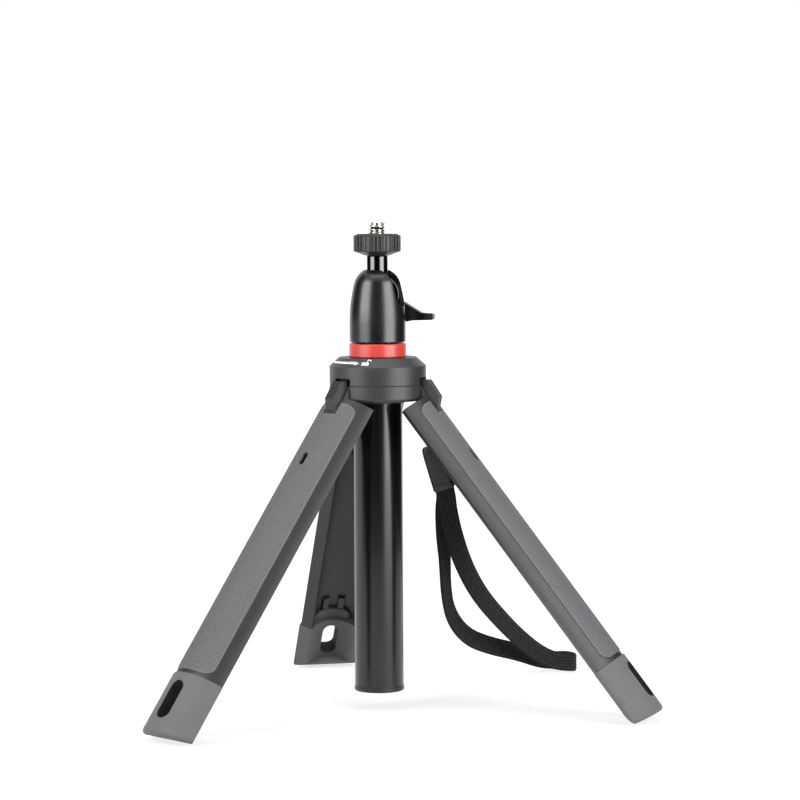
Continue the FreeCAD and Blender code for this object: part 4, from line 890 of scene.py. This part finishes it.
class TRIPOD_OT_feet(bpy.types.Operator):
    """Close the rubber feet at their ends and paint shade on the walls of their slots"""

    bl_idname = "tripod.feet"
    bl_label = "Feet"

    def execute(self, context):
        # painted shade: the walls inside the slot are painted near black, for the shade deep in the
        # slot
        core = moulded_plastic("moulded nylon foot core", colour("020202"), 0.1, 0.8)
        for side in SIDES:
            node, matrix = NODES["foot_" + side], leg_matrix(side)
            work = bmesh.new()
            work.from_mesh(node.data)
            bmesh.ops.remove_doubles(work, verts=work.verts, dist=0.002 * MM)
            work.transform(matrix.inverted())
            work.normal_update()
            self.paint_slot_shade(work)
            self.close_end(work)
            self.round_toe(work)
            self.slant_end(work, matrix)
            work.transform(matrix)
            piece = worked_object("foot_" + side + "_closed", work,
                                  node.material_slots[0].material, core)
            shade(piece, sharp=30)
            finished(piece, "leg_" + side, "foot_rubber", "foot_" + side)
        return {"FINISHED"}

    def paint_slot_shade(self, work):
        """The slot's walls, which face across or along the leg and lie inside its outline, take the
        painted shade.
        """
        low = min(v.co.z for v in work.verts)
        for face in work.faces:
            place, way = face.calc_center_median(), face.normal
            inside = (abs(place.y) < FOOT_SLOT[0] + 0.05 * MM
                      and low + FOOT_SLOT[1] < place.z < low + FOOT_SLOT[2])
            face.material_index = int(inside and abs(way.x) < 0.3)

    def close_end(self, work):
        """A wall across the end of the channel, from its curved inside to a straight edge."""
        low = min(v.co.z for v in work.verts)
        inner = min(Vector(v.co.xy).length for v in work.verts)
        edge = min(v.co.x for v in work.verts)
        reach = inner + FOOT_WALL_SUNK
        turn = math.acos((edge + FOOT_WALL_BACK) / reach)
        outline = [on_circle(reach, turn * i / 12) for i in range(-12, 13)]
        wall = [[work.verts.new((x, y, low + height)) for x, y in outline]
                for height in (0.03 * MM, FOOT_WALL)]
        made = [work.faces.new(reversed(wall[0])), work.faces.new(wall[1])]
        made += [work.faces.new((wall[0][i], wall[0][k], wall[1][k], wall[1][i]))
                 for i, k in pairs_round(len(outline))]
        edges = {e for face in made[:2] for e in face.edges}
        bmesh.ops.bevel(work, geom=list(edges), offset=0.5 * MM, segments=3, profile=0.5,
                        affect="EDGES")

    def round_toe(self, work):
        """A large round where the side walls' inner edges meet the end."""
        low, edge = min(v.co.z for v in work.verts), min(v.co.x for v in work.verts)
        for i in range(1, 7):
            rise = FOOT_TOE * (1 - math.cos(math.radians(15 * i)))
            sliced(work, (0, 0, low + rise), (0, 0, 1))
            sliced(work, (edge + rise, 0, 0), (1, 0, 0))
        middle = Vector((edge + FOOT_TOE, low + FOOT_TOE))
        for vertex in work.verts:
            out = Vector((vertex.co.x, vertex.co.z)) - middle
            if max(out) < 0 and out.length > FOOT_TOE:
                vertex.co.x, vertex.co.z = middle + out * (FOOT_TOE / out.length)

    def slant_end(self, work, matrix):
        """Stretches the last millimetres outside, part of the way to the floor's plane."""
        low = min(v.co.z for v in work.verts)
        rise = (matrix.to_3x3() @ Z).z
        for vertex in work.verts:
            share = (low + FOOT_END_ZONE - vertex.co.z) / FOOT_END_ZONE
            if share > 0:
                gap = (matrix @ Vector((vertex.co.x, vertex.co.y, low))).z / rise
                vertex.co.z -= share * FOOT_SLANT * max(0.0, gap)


HUB_RADIUS = 18.7 * MM
HUB_TOP_RADIUS = 15.05 * MM
CHAMFER_HEIGHT = 3.25 * MM
PRINT_THICKNESS = 0.05 * MM
PRINT_SUNK = 0.02 * MM
# degrees between two edges of a print, which let it follow the round chamfer
PRINT_STEP = 2.0
# outlines as angles in degrees and shares of the chamfer's height
ARROW = ((-98, 0.56), (-98, 0.42), (-43.5, 0.42), (-43.5, 0.29), (-37.2, 0.49), (-43.5, 0.69),
         (-43.5, 0.56))
PADLOCK_BODY = ((-33.3, 0.3), (-24.2, 0.3), (-24.2, 0.62), (-33.3, 0.62))
# the shackle's middle, its half width and height, the share of them inside it, and its foot
SHACKLE_MIDDLE = (-24.0, 0.74)
SHACKLE_REACH = (2.9, 0.2)
SHACKLE_INSIDE = 0.62
SHACKLE_FOOT = 0.6


def printed(name, outlines, material):
    """Outlines of (angle in degrees, share of the height), printed on the hub's chamfer."""
    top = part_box("hub_upper_shell")[1].z
    work = bmesh.new()
    for outline in outlines:
        work.faces.new([work.verts.new((a, b, 0)) for a, b in outline])
    bmesh.ops.triangulate(work, faces=work.faces)
    lowest = min(v.co.x for v in work.verts)
    highest = max(v.co.x for v in work.verts)
    for i in range(1, int((highest - lowest) / PRINT_STEP) + 1):
        sliced(work, (lowest + i * PRINT_STEP, 0, 0), (1, 0, 0))
    raised = bmesh.ops.extrude_face_region(work, geom=work.faces[:])["geom"]
    for item in raised:
        if isinstance(item, bmesh.types.BMVert):
            item.co.z = 1.0
    slope = Vector((CHAMFER_HEIGHT, HUB_RADIUS - HUB_TOP_RADIUS)).normalized()
    for vertex in work.verts:
        turn, share, layer = math.radians(vertex.co.x), vertex.co.y, vertex.co.z
        lift = layer * PRINT_THICKNESS - PRINT_SUNK
        radius = HUB_RADIUS + (HUB_TOP_RADIUS - HUB_RADIUS) * share + slope.x * lift
        height = top - CHAMFER_HEIGHT * (1 - share) + slope.y * lift
        vertex.co = (radius * math.sin(turn), -radius * math.cos(turn), height)
    bmesh.ops.recalc_face_normals(work, faces=work.faces)
    return worked_object(name, work, material)


class TRIPOD_OT_marks(bpy.types.Operator):
    """Print the turning arrow and the open padlock on the hub's chamfer"""

    bl_idname = "tripod.marks"
    bl_label = "Hub prints"

    def execute(self, context):
        ink = printed_ink(settings().finish.ink)
        middle, level = SHACKLE_MIDDLE
        reach, rise = SHACKLE_REACH
        shackle = [(middle - reach, SHACKLE_FOOT)]
        for share, sweep in ((1.0, range(180, -1, -15)), (SHACKLE_INSIDE, range(0, 181, 15))):
            shackle += [(middle + reach * share * math.cos(math.radians(turn)),
                         level + rise * share * math.sin(math.radians(turn))) for turn in sweep]
        shackle.append((middle - reach * SHACKLE_INSIDE, SHACKLE_FOOT))
        finished(printed("arrow_print", [ARROW], ink), "base", "hub_plastic")
        finished(printed("padlock_print", [PADLOCK_BODY, shackle], ink), "base", "hub_plastic")
        return {"FINISHED"}


class TRIPOD_OT_camera_screw(bpy.types.Operator):
    """Cut the quarter-inch thread on the camera screw and mould the ridges round it"""

    bl_idname = "tripod.camera_screw"
    bl_label = "Camera screw"

    def execute(self, context):
        size = settings().thread
        # rolled steel: bright and pale, with a dark line in every groove
        steel = turned_metal("rolled steel thread", colour("bdbcb8"), 0.26)
        low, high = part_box("camera_stud")
        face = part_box("wheel_pad")[1].z
        core = size.radius - CORE_DEPTHS * THREAD_DEPTH * size.pitch
        outline = [(SHANK_RADIUS, low.z), (SHANK_RADIUS, face - THREAD_START), (core, face),
                   (core, high.z - STUD_CHAMFER), (core - STUD_CHAMFER, high.z)]
        count = 64
        vertices = [(*on_circle(radius, math.tau * i / count), height)
                    for radius, height in outline for i in range(count)]
        stud = mesh_object("camera_stud_core", vertices, skin(len(outline), count), steel)
        finished(stud, "wheel", "plain_steel", "camera_stud")
        ridge = grown("camera_stud_thread", thread_tree(steel),
                      Matrix.Translation((0, 0, face + THREAD_START)), Radius=size.radius,
                      Pitch=size.pitch, Length=high.z - face - THREAD_SHORTER)
        finished(ridge, "wheel", "plain_steel")
        rubber = NODES["wheel_pad"].material_slots[0].material
        ridges = grown("wheel_pad_ridges", ridge_tree(rubber), Matrix.Translation((0, 0, face)),
                       **PAD_RIDGES)
        finished(ridges, "wheel", "black_rubber")
        return {"FINISHED"}


# Stage: camera, floor, lamps and surround

CAMERA_DISTANCE = 1.19224
CAMERA_HEIGHT = 0.20887
CAMERA_AZIMUTH = -0.21505
CAMERA_YAW = -0.00717
CAMERA_PITCH = -0.07398
CAMERA_ROLL = -0.00474
FOCAL_PIXELS = 3086.23
IMAGE_SIZE = 800
SENSOR = 36.0
# name, angle from the camera's side in degrees, and height of the lower edge
SOFTBOXES = (("left", -55, 0.11), ("right", 52, 0.01))
SOFTBOX_SIZE = (0.6, 0.72)
SOFTBOX_DISTANCE = 0.8
TOP_LAMP_SIZE = (0.9, 0.7)
# towards the camera and up, from the middle of the tripod that it points at
TOP_LAMP_PLACE = (0.15, 1.1)
TRIPOD_MIDDLE = Vector((0, 0, 0.11))
# the floor's own glow grows from the tripod outwards: between these distances, by these strengths
FLOOR_FADE = (0.2, 1.2)
FLOOR_GLOW = (0.66, 1.0)
CARD_DISTANCE = 0.5
# name, first and last angle from the camera's side in degrees, lowest and highest edge
CARDS = (
    ("front", -33, 24, 0.0, 0.7),
    ("low", -81, -33, 0.0, 0.07),
    ("left", -129, -81, 0.11, 0.7),
    ("right", 78, 141, 0.0, 0.7),
)


def lamp(name, place, target, size, power):
    data = bpy.data.lights.new(name, "AREA")
    data.shape = "RECTANGLE"
    data.size, data.size_y = size
    data.energy = power
    made = linked(name, data)
    made.location = place
    made.rotation_euler = (Vector(target) - Vector(place)).to_track_quat("-Z", "Y").to_euler()


def seen_directly(tree):
    """One for rays from the camera and for reflections, nothing for what lights the tripod."""
    path = add_node(tree, "ShaderNodeLightPath").outputs
    seen = path["Is Camera Ray"]
    for ray in ("Is Glossy Ray", "Is Transmission Ray"):
        seen = add_node(tree, MATH, (seen, path[ray]), operation="MAXIMUM")
    return seen


class TRIPOD_OT_stage(bpy.types.Operator):
    """Set the camera, a pale floor and soft studio light"""

    bl_idname = "tripod.stage"
    bl_label = "Stage"

    def execute(self, context):
        scene = context.scene
        values = settings().stage
        scene.view_settings.view_transform = "Standard"

        data = bpy.data.cameras.new("camera")
        data.sensor_width = SENSOR
        data.lens = FOCAL_PIXELS * SENSOR / IMAGE_SIZE
        data.clip_start, data.clip_end = 0.05, 100
        camera = linked("camera", data)
        place = Vector((CAMERA_DISTANCE * math.sin(CAMERA_AZIMUTH),
                        -CAMERA_DISTANCE * math.cos(CAMERA_AZIMUTH), CAMERA_HEIGHT))
        heading = CAMERA_AZIMUTH + CAMERA_YAW
        ahead = Vector((-math.sin(heading) * math.cos(CAMERA_PITCH),
                        math.cos(heading) * math.cos(CAMERA_PITCH), math.sin(CAMERA_PITCH)))
        right = Vector((math.cos(heading), math.sin(heading), 0))
        up = right.cross(ahead)
        rolled_right = right * math.cos(CAMERA_ROLL) + up * math.sin(CAMERA_ROLL)
        rolled_up = up * math.cos(CAMERA_ROLL) - right * math.sin(CAMERA_ROLL)
        basis = Matrix((rolled_right, rolled_up, -ahead)).transposed().to_4x4()
        camera.matrix_world = Matrix.Translation(place) @ basis
        scene.camera = camera

        self.floor(values)
        self.surround(scene, values)
        toward = Vector((place.x, place.y, 0)).normalized()
        for side, turn, lowest in SOFTBOXES:
            direction = Matrix.Rotation(math.radians(turn), 3, "Z") @ toward
            place = direction * SOFTBOX_DISTANCE + Z * (lowest + SOFTBOX_SIZE[1] / 2)
            lamp("softbox_" + side, place, (0, 0, place.z), SOFTBOX_SIZE, values.key)
        near, above = TOP_LAMP_PLACE
        lamp("softbox_top", TRIPOD_MIDDLE + toward * near + Z * above, TRIPOD_MIDDLE,
             TOP_LAMP_SIZE, values.top)
        self.cards(toward)
        return {"FINISHED"}

    def cards(self, toward):
        # black flocked card round the set, which the camera looks through: the gloss black
        # finishes reflect it between their two highlights, as they do in the photograph
        material, tree = bare_material("black flocked card")
        flock = add_node(tree, "ShaderNodeBsdfDiffuse", {"Color": rgba(colour("0d0d0d"))})
        add_node(tree, "ShaderNodeOutputMaterial", {"Surface": flock})
        for name, first, last, low, high in CARDS:
            vertices = []
            # a facet for every three degrees
            for turn in range(first, last + 1, 3):
                way = Matrix.Rotation(math.radians(turn), 3, "Z") @ toward * CARD_DISTANCE
                vertices += [(way.x, way.y, low), (way.x, way.y, high)]
            faces = [(i, i + 2, i + 3, i + 1) for i in range(0, len(vertices) - 3, 2)]
            card = mesh_object("card_" + name, vertices, faces, material, smooth=False)
            card.visible_camera = False

    def floor(self, values):
        half = values.floor_size / 2
        corners = [(-half, -half, 0), (half, -half, 0), (half, half, 0), (-half, half, 0)]
        # matt white paper sweep: reads as plain white, and keeps a faint shadow
        material, tree = bare_material("matt white paper")
        paper = add_node(tree, "ShaderNodeBsdfDiffuse", {"Color": rgba(colour("bcbcbc"))})
        place = add_node(tree, "ShaderNodeTexCoord").outputs["Object"]
        away = add_node(tree, VECTOR_MATH, (place,), operation="LENGTH")
        white = add_node(tree, MAP_RANGE, (away, *FLOOR_FADE, *FLOOR_GLOW))
        strength = add_node(tree, MATH, (seen_directly(tree), white), operation="MULTIPLY")
        glow = add_node(tree, "ShaderNodeEmission", {"Color": (1, 1, 1, 1), "Strength": strength})
        both = add_node(tree, "ShaderNodeAddShader", (paper, glow))
        add_node(tree, "ShaderNodeOutputMaterial", {"Surface": both})
        mesh_object("floor", corners, [(0, 1, 2, 3)], material, smooth=False)

    def surround(self, scene, values):
        world = bpy.data.worlds.new("studio")
        world.use_nodes = True
        scene.world = world
        tree = world.node_tree
        strength = add_node(tree, MAP_RANGE, (seen_directly(tree), 0.0, 1.0, values.surround, 1.0))
        fill(tree, tree.nodes["Background"], {"Color": (1, 1, 1, 1), "Strength": strength})


class TripodSettings(bpy.types.PropertyGroup):
    """Everything that a user may change."""

    finish: PointerProperty(type=TripodFinishSettings)
    grip: PointerProperty(type=TripodGripSettings)
    strap: PointerProperty(type=TripodStrapSettings)
    thread: PointerProperty(type=TripodThreadSettings)
    stage: PointerProperty(type=TripodStageSettings)


class TRIPOD_PT_panel(bpy.types.Panel):
    """Shows a button for each step, and the tripod's settings"""

    bl_label = "Tripod"
    bl_idname = "TRIPOD_PT_panel"
    bl_space_type = "VIEW_3D"
    bl_region_type = "UI"
    bl_category = "Tripod"

    def draw(self, context):
        for operator in OPERATORS:
            self.layout.operator(operator.bl_idname)
        for group in ("finish", "grip", "strap", "thread", "stage"):
            box = self.layout.box()
            box.label(text=group.title())
            values = getattr(context.scene.tripod, group)
            for name in values.__annotations__:
                box.prop(values, name)


OPERATORS = (
    TRIPOD_OT_stage,
    TRIPOD_OT_finishes,
    TRIPOD_OT_strap,
    TRIPOD_OT_keeper,
    TRIPOD_OT_grip_lines,
    TRIPOD_OT_feet,
    TRIPOD_OT_marks,
    TRIPOD_OT_camera_screw,
)
GROUPS = (
    TripodFinishSettings,
    TripodGripSettings,
    TripodStrapSettings,
    TripodThreadSettings,
    TripodStageSettings,
    TripodSettings,
)


def register():
    for item in GROUPS + OPERATORS + (TRIPOD_PT_panel,):
        bpy.utils.register_class(item)
    bpy.types.Scene.tripod = PointerProperty(type=TripodSettings)


def unregister():
    del bpy.types.Scene.tripod
    for item in reversed(GROUPS + OPERATORS + (TRIPOD_PT_panel,)):
        bpy.utils.unregister_class(item)


def main():
    register()
    bpy.ops.tripod.stage()
    bpy.ops.tripod.finishes()
    bpy.ops.tripod.strap()
    bpy.ops.tripod.keeper()
    bpy.ops.tripod.grip_lines()
    bpy.ops.tripod.feet()
    bpy.ops.tripod.marks()
    bpy.ops.tripod.camera_screw()


if __name__ == "__main__":
    main()
